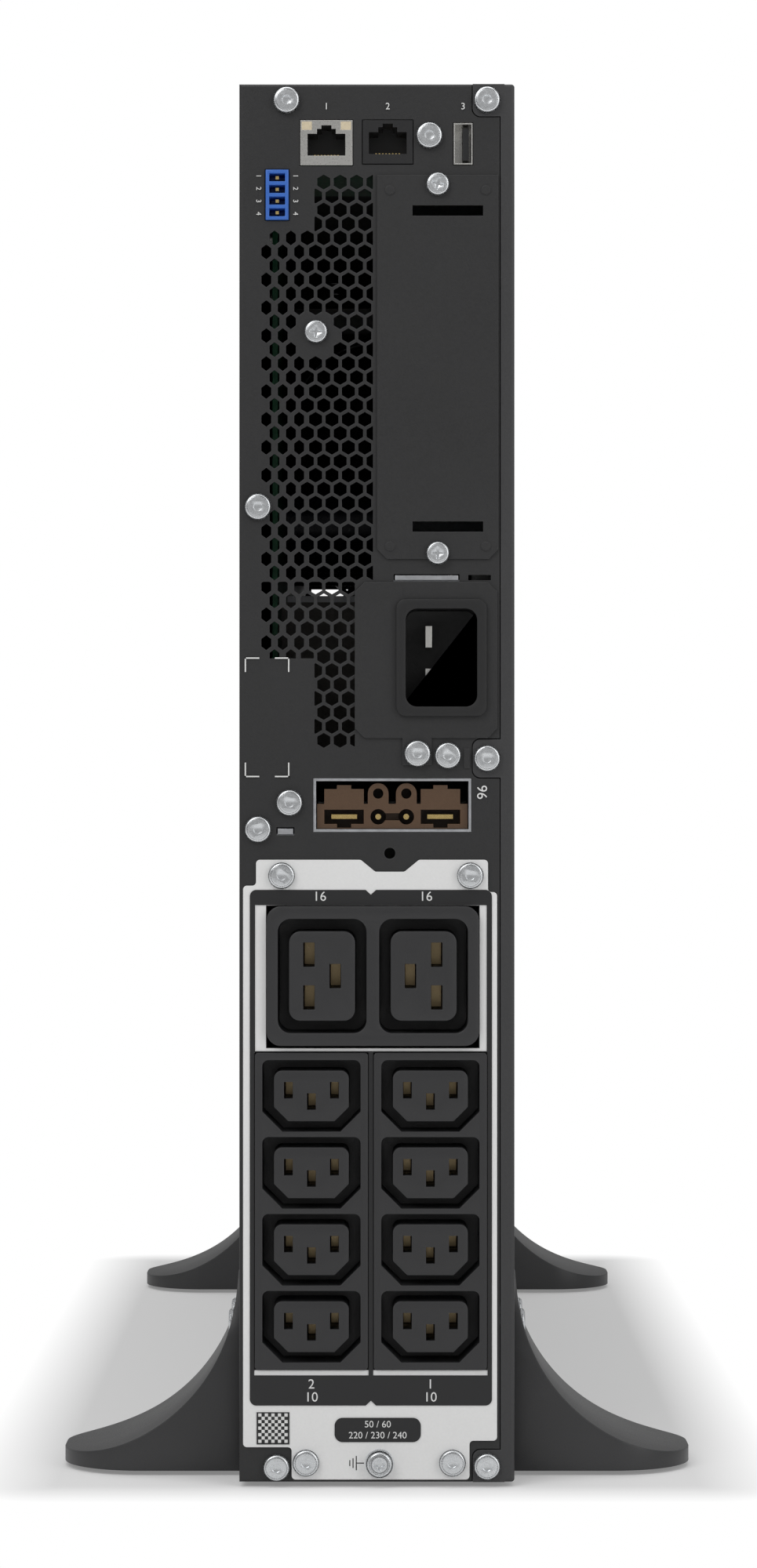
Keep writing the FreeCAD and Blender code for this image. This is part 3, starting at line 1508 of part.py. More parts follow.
def battery_port_cavities():
    """Ways into the housing: wide keyed ones at the ends and round ones between, in two rows."""
    mouth = HOUSING_Y[0] - 1
    bore = size("port_bore_depth")
    deep = (mouth, HOUSING_Y[0] + bore)
    half_key = size("port_key_width") / 2
    tools = []
    pins = []
    for i, x in enumerate(PORT_ENDS):
        tools.append(
            block(
                f"port_wide_{i}", wider((x, x), PORT_HALF_WIDE), deep, wider((PORT_LOWER, PORT_LOWER), PORT_HALF_TALL)
            )
        )
        key_z = (PORT_LOWER - PORT_HALF_TALL - 1.2, PORT_LOWER)
        tools.append(block(f"port_key_{i}", wider((x, x), half_key), deep, key_z))
        blade_x = wider((x, x), size("port_blade_width") / 2)
        blade_z = wider((PORT_LOWER, PORT_LOWER), size("port_blade_height") / 2)
        pins.append(block(f"port_blade_{i}", blade_x, (HOUSING_Y[0] + bore / 2, deep[1]), blade_z))
    for i, x in enumerate(PORT_BARRELS):
        tools.append(rod(f"port_lower_{i}", "y", x, mouth, PORT_LOWER, size("port_lower_radius"), bore + 1))
        pin_y = HOUSING_Y[0] + bore / 3
        pins.append(rod(f"port_pin_{i}", "y", x, pin_y, PORT_LOWER, size("port_pin_radius"), bore * 2 / 3))
        tools.append(rod(f"port_upper_{i}", "y", x, mouth, PORT_UPPER, size("port_upper_radius"), bore + 1))
    joined = (PORT_BARRELS[0], PORT_BARRELS[1])
    tools.append(
        block(
            "port_joined", joined, (mouth, HOUSING_Y[0] + bore / 2), wider((PORT_LOWER, PORT_LOWER), PORT_HALF_TALL / 2)
        )
    )
    return tools, pins


def battery_port_housing(cavities):
    """The moulded case: a floor block, two end blocks with a key each, and two barrels."""
    case = block(
        "port_case",
        wider(PORT_X, -1.2),
        HOUSING_Y,
        (PORT_Z[0] + THIN + 0.3, PORT_CENTRE_Z + 0.4),
    )
    depth = HOUSING_Y[1] - HOUSING_Y[0]
    barrel = size("port_barrel_radius")
    raised = []
    for i, x in enumerate(PORT_ENDS):
        top = PORT_UPPER + 1.4
        raised.append(
            block(f"port_block_{i}", wider((x, x), PORT_HALF_WIDE), HOUSING_Y, (PORT_CENTRE_Z, top))
        )
        raised.append(
            block(
                f"port_rib_{i}", wider((x, x), size("port_key_width") / 2), HOUSING_Y, (PORT_CENTRE_Z, top + 1.2)
            )
        )
    for i, x in enumerate(PORT_BARRELS):
        raised.append(rod(f"port_barrel_{i}", "y", x, HOUSING_Y[0], PORT_UPPER, barrel, depth))
        raised.append(
            block(f"port_neck_{i}", wider((x, x), barrel), HOUSING_Y, (PORT_CENTRE_Z, PORT_UPPER))
        )
    return cut("port_housing_form", fuse("port_housing_outer", case, *raised), *cavities)


port_cavities, port_pins = battery_port_cavities()
keep(battery_port_housing(port_cavities), "battery_port_housing")
keep(group("port_contact_set", *contacts, *port_pins), "port_contacts")


def bracket_hooks():
    """Tips of inner brackets that show in the rear panel's slots."""
    hooks = []
    for name in ("inlet_hook", "wall_hook"):
        x0, x1, z0, z1 = SLOTS[name]
        tip = block(f"{name}_tip", (x0 + 0.4, x1 - 0.4), (REAR - 0.4, PANEL + 8), (z0 + 0.4, z1 - 0.4))
        leg = block(f"{name}_leg", (x0 - 1.5, x1 + 1.5), (PANEL, PANEL + THIN), (z0 - 2, z0 + 0.5))
        hooks.append(fuse(name, tip, leg))
    return group("bracket_hook_set", *hooks)


keep(bracket_hooks(), "bracket_hooks")

# ---------------------------------------------------------------------------------------
# Outlets
# ---------------------------------------------------------------------------------------


def outlet_plate():
    """The light plate under the label, with a dip at its top round the retention hole."""
    body = new_body("outlet_plate_body")
    left = LEFT + size("outlet_left")
    right = left + size("outlet_width")
    ear = size("outlet_ear_inset")
    base = BASE + size("outlet_rise")
    skirt = base + size("outlet_skirt")
    shoulder = BASE + size("outlet_shoulder")
    top = BASE + size("outlet_height")
    dip = size("outlet_dip_depth")
    middle = LATCH[0]
    wide = size("outlet_dip_half")
    narrow = wide / 2
    outline = [
        (left, skirt),
        (left + 15, skirt),
        (left + 15, base),
        (right - 8.5, base),
        (right - 8.5, skirt + 2),
        (right, skirt + 2),
        (right, shoulder - 1),
        (right - ear + 1.2, shoulder - 1),
        (right - ear + 1.2, top),
        (middle + wide, top),
        (middle + narrow, top - dip),
        (middle - narrow, top - dip),
        (middle - wide, top),
        (left + ear, top),
        (left + ear, shoulder + 1),
        (left, shoulder + 1),
    ]
    pad(
        body, "outlet_plate_pad", polygon(new_sketch(body, "outlet_plate_outline", "y", SKIN), outline), THIN
    )
    corner = lambda e: runs_along(e, "y")
    round_edges(body, "outlet_plate_corners", 1.2, corner)
    mouths = new_sketch(body, "outlet_plate_mouths", "y", SKIN)
    for low, high in BANKS.values():
        rectangle(mouths, wider((low, high), 0.2), wider(BANK_Z, 0.2))
    rectangle(mouths, wider(BIG_X, 0.2), (BANK_Z[1] + 1.4, BIG_Z[1] + 0.2))
    pocket(body, "outlet_plate_openings", mouths, THIN)
    holes = new_sketch(body, "outlet_plate_holes", "y", SKIN)
    for x, z in plate_places[:4] + [earth_place]:
        circle(holes, x, z, size("lobe_shaft_radius") + HOLE)
    pocket(body, "outlet_plate_bores", holes, THIN)
    return body


def notched_plate(name, y, x, z, thick):
    """The main label's sheet, with a V nick in its top and bottom edges between the banks."""
    body = new_body(name)
    middle = (BANKS["left"][1] + BANKS["right"][0]) / 2
    half = size("label_nick_half")
    nick = size("label_nick_depth")
    outline = [
        (x[0], z[0]), (middle - half, z[0]), (middle, z[0] + nick), (middle + half, z[0]), (x[1], z[0]),
        (x[1], z[1]), (middle + half, z[1]), (middle, z[1] - nick), (middle - half, z[1]), (x[0], z[1]),
    ]
    pad(body, f"{name}_pad", polygon(new_sketch(body, f"{name}_outline", "y", y), outline), thick)
    outer = lambda e: runs_along(e, "y") and (lies_at(e, "x", x[0]) or lies_at(e, "x", x[1]))
    round_edges(body, f"{name}_corners", size("label_corner"), outer)
    return body


def outlet_label():
    """The dark label, and two small ones beneath it."""
    thick = size("label_thickness")
    face = SKIN - thick
    left = LEFT + size("label_left")
    x = (left, left + size("label_width"))
    z = (BASE + size("label_rise"), BASE + size("label_rise") + size("label_height"))
    main = notched_plate("label_main", face, x, z, thick)
    windows = [
        block(
            "label_big_window", wider((x[0], x[1]), -1.6), (face - 1, SKIN + 1), (BANK_Z[1] + 0.5, BIG_Z[1] + 0.3)
        ),
    ]
    for name, (low, high) in BANKS.items():
        strip = block(
            f"label_{name}_window", wider((low, high), 0.2), (face - 1, SKIN + 1), (BANK_Z[0] - 1.8, BANK_Z[1] + 0.2)
        )
        windows.append(strip)
    pill_middle = (x[0] + x[1]) / 2 + 2.1
    pill = rounded_plate(
        "label_pill", "y", face, wider((pill_middle, pill_middle), 13.3), (BASE + 12.5, BASE + 20.0), thick, 2.5
    )
    square = block("label_square", (x[0] + 2.1, x[0] + 12.2), (face, SKIN), (BASE + 11.8, BASE + 21.7))
    return group("label_set", cut("label_windowed", main, *windows), pill, square)


def keyed_prism(name, centre, width, height, chamfer, corner, y, span):
    """A rectangle with two chamfered lower corners and two round upper ones."""
    x, z = centre
    half = width / 2
    rise = height / 2
    body = new_body(name)
    outline = [
        (x - half + chamfer, z - rise),
        (x + half - chamfer, z - rise),
        (x + half, z - rise + chamfer),
        (x + half, z + rise),
        (x - half, z + rise),
        (x - half, z - rise + chamfer),
    ]
    pad(body, f"{name}_pad", polygon(new_sketch(body, f"{name}_outline", "y", y), outline), span)
    upper = lambda e: runs_along(e, "y") and lies_at(e, "z", z + rise)
    round_edges(body, f"{name}_corners", corner, upper)
    return body


BANK_FACE = SKIN - size("bank_proud")
BANK_DEPTH = size("bank_depth")
CONTACT_PLAY = size("contact_play")
SOCKET_COUNT = 4


def small_socket_tools(centre):
    """The ring-shaped recess of one outlet."""
    recess = keyed_prism(
        "socket_recess", centre, size("socket_width"), size("socket_height"), size("socket_chamfer"), 2.0,
        BANK_FACE - 1, size("socket_depth") + 1,
    )
    core = keyed_prism(
        "socket_core", centre, size("core_width"), size("core_height"), size("core_chamfer"), 2.5,
        BANK_FACE - 2, size("socket_depth") + 4,
    )
    return cut("socket_ring", recess, core)


def slot_spots(centre):
    """The centres of an outlet's two live slots and its earth slot."""
    x, z = centre
    pitch = size("contact_slot_pitch") / 2
    up = size("contact_slot_offset") / 2
    return [(x - pitch, z + up), (x + pitch, z + up), (x, z - up)]


first_socket_z = BANK_Z[0] + (BANK_Z[1] - BANK_Z[0] - size("outlet_pitch") * (SOCKET_COUNT - 1)) / 2
bank_middle = (BANKS["left"][0] + BANKS["left"][1]) / 2
socket_ring = small_socket_tools((bank_middle, first_socket_z))
slot_half = size("contact_slot_width") / 2
slot_tall = size("contact_slot_height") / 2
socket_slots = []
socket_blades = []
for i, (x, z) in enumerate(slot_spots((bank_middle, first_socket_z))):
    through = (BANK_FACE - 1, BANK_FACE + BANK_DEPTH + 1)
    socket_slots.append(
        block(f"socket_slot_{i}", wider((x, x), slot_half), through, wider((z, z), slot_tall))
    )
    blade_y = (BANK_FACE + size("contact_setback"), BANK_FACE + BANK_DEPTH + 8)
    blade_x = wider((x, x), slot_half - CONTACT_PLAY)
    socket_blades.append(
        block(f"socket_blade_{i}", blade_x, blade_y, wider((z, z), slot_tall - CONTACT_PLAY))
    )
socket_tool = fuse("socket_tool", socket_ring, *socket_slots)
socket_blade_set = group("socket_blade_set", *socket_blades)

outlet_blades = []
for side, (low, high) in BANKS.items():
    middle = (low + high) / 2
    outer = rounded_plate(f"bank_{side}_outer", "y", BANK_FACE, (low, high), BANK_Z, BANK_DEPTH, 1.0)
    tools = []
    for i in range(SOCKET_COUNT):
        shift = (middle - bank_middle, 0, size("outlet_pitch") * i)
        tools.append(copy_of(f"socket_{side}_{i}", socket_tool, *shift))
        outlet_blades.append(copy_of(f"blades_{side}_{i}", socket_blade_set, *shift))
    keep(cut(f"bank_{side}_form", outer, *tools), f"outlet_bank_{side}")

BIG_FACE = SKIN - size("big_proud")
BIG_MIDDLE = (BIG_X[0] + BIG_X[1]) / 2
BIG_CENTRE_Z = (BIG_Z[0] + BIG_Z[1]) / 2
big_outer = rounded_plate("big_outer", "y", BIG_FACE, BIG_X, BIG_Z, BANK_DEPTH + 4, size("big_corner"))
big_tools = []
for side, sign in (("left", -1), ("right", 1)):
    x = BIG_MIDDLE + size("big_socket_pitch") / 2 * sign
    z = BIG_CENTRE_Z
    ring = rounded_plate(
        f"big_{side}_recess", "y", BIG_FACE - 1, wider((x, x), size("big_socket_width") / 2),
        wider((z, z), size("big_socket_height") / 2), size("socket_depth") + 3, size("big_socket_corner"),
    )
    core = rounded_plate(
        f"big_{side}_core", "y", BIG_FACE - 2, wider((x, x), size("big_core_width") / 2),
        wider((z, z), size("big_core_height") / 2), size("socket_depth") + 6, 3.5,
    )
    big_tools.append(cut(f"big_{side}_ring", ring, core))
    offset = size("big_slot_offset") / 2 * sign
    half = size("big_slot_width") / 2
    tall = size("big_slot_height") / 2
    rise = size("big_slot_pitch") / 2
    for i, (slot_x, slot_z) in enumerate(((x + offset, z - rise), (x + offset, z + rise), (x - offset, z))):
        y = (BIG_FACE - 1, BIG_FACE + BANK_DEPTH + 5)
        big_tools.append(
            block(f"big_{side}_slot_{i}", wider((slot_x, slot_x), half), y, wider((slot_z, slot_z), tall))
        )
        blade_y = (BIG_FACE + size("contact_setback"), BIG_FACE + BANK_DEPTH + 12)
        outlet_blades.append(
            block(
                f"big_{side}_blade_{i}",
                wider((slot_x, slot_x), half - CONTACT_PLAY),
                blade_y,
                wider((slot_z, slot_z), tall - CONTACT_PLAY),
            )
        )
keep(cut("big_form", big_outer, *big_tools), "large_outlet_block")
keep(outlet_plate(), "outlet_plate")
keep(outlet_label(), "outlet_label")
keep(group("outlet_blade_set", *outlet_blades), "outlet_terminals")

# ---------------------------------------------------------------------------------------
# Power electronics over the battery bay
# ---------------------------------------------------------------------------------------

BOARD_X = (
    INNER_LEFT + size("standoff_height"), INNER_LEFT + size("standoff_height") + size("board_thickness")
)
BOARD_Y = (REAR + size("board_setback"), FAN_REAR - 12)
BOARD_Z = (SHELF_TOP + 8, OVER - 30)
SPREAD = (BOARD_X[1], LIP - 6)  # from the board out towards the cover

keep(block("power_board_sheet", BOARD_X, BOARD_Y, BOARD_Z), "power_board")

standoffs = []
for i in range(4):
    y = BOARD_Y[0] + 12 + (BOARD_Y[1] - BOARD_Y[0] - 24) * i / 3
    for j, z in enumerate((BOARD_Z[0] + 8, BOARD_Z[1] - 8)):
        standoffs.append(rod(f"standoff_{i}_{j}", "x", INNER_LEFT, y, z, 3.5, size("standoff_height")))
keep(group("standoff_set", *standoffs), "board_standoffs")


def heat_sink(name, y, z):
    """A comb of fins on a back plate that stands on the board."""
    body = new_body(name)
    fins = 7
    pitch = (z[1] - z[0] - 2.5) / (fins - 1)
    outline = [(BOARD_X[1], z[0]), (BOARD_X[1], z[1])]
    for i in reversed(range(fins)):
        high = z[0] + pitch * i + 2.5
        outline.append((SPREAD[1], high))
        outline.append((SPREAD[1], high - 2.5))
        if i > 0:
            outline.append((BOARD_X[1] + 5, high - 2.5))
            outline.append((BOARD_X[1] + 5, high - pitch))
    pad(body, f"{name}_pad", polygon(new_sketch(body, f"{name}_outline", "y", y), outline), 90)
    return body


sink_z = (BOARD_Z[0] + 6, BOARD_Z[0] + 66)
SINK_Y = (BOARD_Y[0] + 150, BOARD_Y[0] + 270)
keep(
    group("heat_sink_pair", *(heat_sink(f"heat_sink_{i}", y, sink_z) for i, y in enumerate(SINK_Y))), "heat_sinks"
)

capacitor_radius = size("capacitor_radius")
capacitors = []
for i in range(5):
    y = BOARD_Y[0] + 158 + (capacitor_radius * 2 + 4) * i
    z = BOARD_Z[0] + 70 + capacitor_radius + 6
    capacitors.append(
        rod(f"capacitor_{i}", "x", BOARD_X[1], y, z, capacitor_radius, size("capacitor_length"))
    )
keep(group("capacitor_row", *capacitors), "capacitors")

choke_y = (BOARD_Y[0] + 60, BOARD_Y[0] + 122)
choke_core = block("choke_core", (BOARD_X[1], BOARD_X[1] + 44), choke_y, (BOARD_Z[0] + 4, BOARD_Z[0] + 60))
choke_coil = block(
    "choke_coil", (BOARD_X[1] + 4, BOARD_X[1] + 52), wider(choke_y, -14), (BOARD_Z[0] + 10, BOARD_Z[0] + 54)
)
keep(fuse("choke", choke_core, choke_coil), "transformer")

# ---------------------------------------------------------------------------------------
# Fans
# ---------------------------------------------------------------------------------------

BLADES = 7
HUB = size("fan_hub_radius")


def fan_frame(name, z):
    """A square frame with a round bore, and a motor carrier on four arms at its rear."""
    depth = size("fan_thickness")
    outer = rounded_plate(
        f"{name}_outer", "y", FAN_REAR, wider((MIDDLE_X, MIDDLE_X), FAN_HALF), wider((z, z), FAN_HALF), depth, 4.0
    )
    bore = rod(f"{name}_bore", "y", MIDDLE_X, FAN_REAR - 1, z, FAN_BORE, depth + 2)
    ring = cut(f"{name}_ring", outer, bore)
    carrier = rod(f"{name}_carrier", "y", MIDDLE_X, FAN_REAR, z, HUB, 3)
    arms = [
        block(
            f"{name}_arm_across", wider((MIDDLE_X, MIDDLE_X), FAN_BORE + 1), (FAN_REAR, FAN_REAR + 3), wider((z, z), 1.5)
        ),
        block(
            f"{name}_arm_up", wider((MIDDLE_X, MIDDLE_X), 1.5), (FAN_REAR, FAN_REAR + 3), wider((z, z), FAN_BORE + 1)
        ),
    ]
    bearing = rod(f"{name}_bearing", "y", MIDDLE_X, FAN_REAR - 1, z, 1.55, 5)
    return cut(f"{name}_form", fuse(f"{name}_joined", ring, carrier, *arms), bearing)


def fan_rotor():
    """A hub cup and twisted blades round the Y axis, with the stub shaft behind."""
    depth = size("fan_thickness")
    cup = rod("rotor_cup", "y", 0, 3.8, 0, HUB - 0.5, depth - 5.5)
    shaft = rod("rotor_shaft", "y", 0, 0.5, 0, 1.5, 6)
    blade = doc.addObject("Part::Box", "rotor_blade")
    chord = depth * 0.8
    blade.Placement = Placement(Vector(), Rotation(Vector(0, 0, 1), 38))
    for side, span in (("Length", length(1.4)), ("Width", chord), ("Height", FAN_BORE)):
        setattr(blade, side, span.value)
        bind(blade, side, span)
    bind(blade, "Placement.Base.x", chord * 0.3)
    bind(blade, "Placement.Base.y", depth * 0.2 + 0.4)
    blades = []
    for i in range(BLADES):
        turn = Rotation(Vector(0, 1, 0), 360 / BLADES * i)
        blades.append(copy_of(f"rotor_blade_{i}", blade, 0, 0, 0, turn))
    envelope = rod("rotor_envelope", "y", 0, 3.8, 0, FAN_BORE - size("fan_tip_gap"), depth - 5.5)
    trimmed = doc.addObject("Part::Common", "rotor_blades")
    trimmed.Base = fuse("rotor_blade_ring", *blades)
    trimmed.Tool = envelope
    return fuse("rotor_form", cup, shaft, trimmed)


rotor = fan_rotor()
fan_frames = []
for name, z in (("upper", FAN_UPPER_Z), ("lower", FAN_LOWER_Z)):
    fan_frames.append(fan_frame(f"fan_{name}", z))
    keep(
        group(f"rotor_{name}_set", copy_of(f"rotor_{name}_copy", rotor, MIDDLE_X, FAN_REAR, z)), f"fan_rotor_{name}"
    )
keep(group("fan_frame_pair", *fan_frames), "fan_frames")

# ---------------------------------------------------------------------------------------
# Front
# ---------------------------------------------------------------------------------------

SPLIT = SHELF_TOP + 2  # where the battery cover ends and the bezel starts
WALL = size("bezel_wall")
DISPLAY_Z = TOP - size("display_drop")
BUTTON_Z = TOP - size("button_drop")
FACE = FRONT - 1.0  # the display's own front face
LOUVRES_TOP = BUTTON_Z - 14


def front_moulding(name, z):
    """An open-backed cap with round front edges."""
    body = new_body(name)
    outline = rectangle(new_sketch(body, f"{name}_outline", "y", MOUTH), (LEFT, RIGHT), z)
    pad(body, f"{name}_pad", outline, FRONT - MOUTH)
    front_edge = lambda e: lies_at(e, "y", FRONT) and (
        runs_along(e, "z") or (runs_along(e, "x") and lies_at(e, "z", BASE, TOP))
    )
    round_edges(body, f"{name}_rounding", size("bezel_corner"), front_edge)
    inside = rectangle(
        new_sketch(body, f"{name}_inside", "y", MOUTH), wider((LEFT, RIGHT), -WALL), wider(z, -WALL)
    )
    pocket(body, f"{name}_hollow", inside, FRONT - MOUTH - WALL)
    return body


def louvres(body, name, z, depth):
    """Level slots, as many as fit."""
    sketch = new_sketch(body, f"{name}_outline", "y", FRONT - depth)
    pitch = size("louvre_pitch")
    count = int((z[1] - z[0]).value / pitch.value)
    for i in range(count):
        low = z[0] + pitch * i
        rectangle(sketch, wider((0, 0), size("louvre_width") / 2), (low, low + size("louvre_height")))
    return pocket(body, name, sketch, depth + 1)


def front_bezel():
    body = front_moulding("bezel", (SPLIT + size("bezel_split_gap"), TOP))
    holes = new_sketch(body, "bezel_holes", "y", FRONT - WALL - 1)
    circle(holes, 0, DISPLAY_Z, size("display_radius") + size("display_play"))
    circle(holes, 0, BUTTON_Z, size("button_radius") + 0.25)
    pocket(body, "bezel_bores", holes, WALL + 2)
    louvres(body, "bezel_louvres", (SPLIT + 14, LOUVRES_TOP), WALL)
    return body


def battery_cover():
    body = front_moulding("battery_cap", (BASE, SPLIT))
    louvres(body, "battery_cap_grooves", (BASE + 14, SPLIT - 46), 1.0)
    grips = new_sketch(body, "battery_cap_grips", "y", FRONT - 1.6)
    rectangle(grips, wider((0, 0), 15), (SPLIT - 26, SPLIT - 12))
    pocket(body, "battery_cap_grip", grips, 3)
    return body


keep(front_bezel(), "front_bezel")
keep(battery_cover(), "battery_cover")

KEY_PITCH = size("key_pitch")
KEYS = {"escape": -1.5, "up": -0.5, "down": 0.5, "enter": 1.5}
KEY_Z = DISPLAY_Z - size("key_drop")
FLANGE_FRONT = FRONT - WALL - size("display_play")
HEAD_REAR = FRONT - 16
SCREEN_Z = DISPLAY_Z + 5


def display_head():
    """A round head that turns in the bezel, held by a flange behind it."""
    body = new_body("display_body")
    disc = new_sketch(body, "display_disc", "y", HEAD_REAR)
    circle(disc, 0, DISPLAY_Z, size("display_radius"))
    pad(body, "display_pad", disc, FACE - HEAD_REAR)
    flange = circle(
        new_sketch(body, "display_flange", "y", FLANGE_FRONT - 2), 0, DISPLAY_Z, size("display_radius") + 3
    )
    pad(body, "display_flange_pad", flange, 2)
    hollow = circle(
        new_sketch(body, "display_inside", "y", HEAD_REAR), 0, DISPLAY_Z, size("display_radius") - 2.5
    )
    pocket(body, "display_hollow", hollow, FACE - HEAD_REAR - 3)
    screen = new_sketch(body, "display_screen", "y", FACE - 1.6)
    rectangle(
        screen, wider((0, 0), size("screen_width") / 2), wider((SCREEN_Z, SCREEN_Z), size("screen_height") / 2)
    )
    pocket(body, "display_recess", screen, 3)
    keys = new_sketch(body, "display_keys", "y", FACE - 5)
    for step in KEYS.values():
        x = KEY_PITCH * step
        rectangle(
            keys, wider((x, x), size("key_width") / 2 + 0.2), wider(
                (KEY_Z, KEY_Z), size("key_height") / 2 + 0.2
            )
        )
    pocket(body, "display_key_holes", keys, 7)
    return body


def key(name, step):
    x = KEY_PITCH * step
    across = wider((x, x), size("key_width") / 2)
    up = wider((KEY_Z, KEY_Z), size("key_height") / 2)
    stem = block(f"{name}_stem", across, (FACE - 5.5, FRONT - 0.2), up)
    flange = block(f"{name}_flange", wider(across, 0.8), (FACE - 5.5, FACE - 4.3), wider(up, 0.8))
    return fuse(f"{name}_form", stem, flange)


keep(display_head(), "display_head")
keep(
    block(
        "display_glass",
        wider((0, 0), size("screen_width") / 2 - 0.15),
        (FACE - 1.6, FACE - 0.3),
        wider((SCREEN_Z, SCREEN_Z), size("screen_height") / 2 - 0.15),
    ),
    "display_window",
)
for name, step in KEYS.items():
    keep(key(f"{name}_key", step), f"key_{name}")

button_stem = rod("button_stem", "y", 0, FRONT - WALL - 3.2, BUTTON_Z, size("button_radius"), WALL + 2.7)
button_flange = rod("button_flange", "y", 0, FRONT - WALL - 3.2, BUTTON_Z, size("button_radius") + 1.8, 1.2)
keep(fuse("button_form", button_stem, button_flange), "power_button")

# ---------------------------------------------------------------------------------------
# Checks and export
# ---------------------------------------------------------------------------------------

doc.recompute()
faults = [o.Name for o in doc.Objects if {"Invalid", "Error"} & set(o.State)]
for thing in subparts:
    shape = thing.Shape
    if shape.isNull() or not shape.isValid() or not shape.Solids:
        faults.append(thing.Label)
if faults:
    sys.exit(f"not built: {', '.join(faults)}")

os.makedirs("parts", exist_ok=True)
for thing in subparts:
    thing.Shape.exportStep(f"parts/{thing.Label}.step")
print(len(subparts), "sub-parts")
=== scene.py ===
# %% [markdown]
# # A tower power supply, seen from behind
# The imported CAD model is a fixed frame: every plate, socket and screw already has its real place.
# This notebook gives each of them its finish, and adds what a sheet of CAD leaves out: softened
# mouldings, pressed screw heads, print, a lit display. Lengths are in metres.

# %% Load the frame
import math

import bpy
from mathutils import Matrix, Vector


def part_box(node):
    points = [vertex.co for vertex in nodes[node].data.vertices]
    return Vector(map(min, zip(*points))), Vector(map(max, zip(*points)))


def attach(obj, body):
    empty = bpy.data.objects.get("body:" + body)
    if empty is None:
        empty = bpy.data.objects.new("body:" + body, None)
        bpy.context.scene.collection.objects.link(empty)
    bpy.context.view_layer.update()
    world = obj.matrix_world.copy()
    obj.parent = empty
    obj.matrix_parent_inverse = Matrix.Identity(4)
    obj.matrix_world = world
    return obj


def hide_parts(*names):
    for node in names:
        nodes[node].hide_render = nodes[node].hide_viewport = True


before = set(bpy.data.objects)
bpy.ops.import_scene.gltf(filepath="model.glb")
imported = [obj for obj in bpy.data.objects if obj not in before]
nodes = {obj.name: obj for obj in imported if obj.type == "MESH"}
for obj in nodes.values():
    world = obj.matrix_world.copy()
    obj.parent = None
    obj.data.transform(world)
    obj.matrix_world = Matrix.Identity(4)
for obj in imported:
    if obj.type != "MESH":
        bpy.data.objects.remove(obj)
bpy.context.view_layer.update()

MM = 0.001

# %% [markdown]
# ## Finishes
# A finish is a small network: a base colour that wanders a little, a roughness that wanders with
# it, and a bump at the size of the real grain. The noise reads Object coordinates, which are metres
# here, so a scale of 1000 is a grain of about one millimetre. One helper makes the network, so that
# each finish below is only its own numbers.


# %% A helper for node networks
def add(tree, kind, **values):
    """A node with its sockets set by name, and its properties by lower-case name."""
    node = tree.nodes.new(kind)
    for name, value in values.items():
        if name.islower() and hasattr(node, name):
            setattr(node, name, value)
        else:
            node.inputs[name.replace("_", " ")].default_value = value
    return node


def ramp(tree, source, stops):
    """A colour ramp from a list of (place, grey or colour)."""
    node = tree.nodes.new("ShaderNodeValToRGB")
    elements = node.color_ramp.elements
    while len(elements) < len(stops):
        elements.new(0.5)
    for element, (place, colour) in zip(elements, stops):
        element.position = place
        element.color = (colour,) * 3 + (1,) if isinstance(colour, float) else (*colour, 1)
    tree.links.new(source, node.inputs["Fac"])
    return node.outputs["Color"]


def tint(colour, factor):
    return tuple(min(1.0, c * factor) for c in colour)
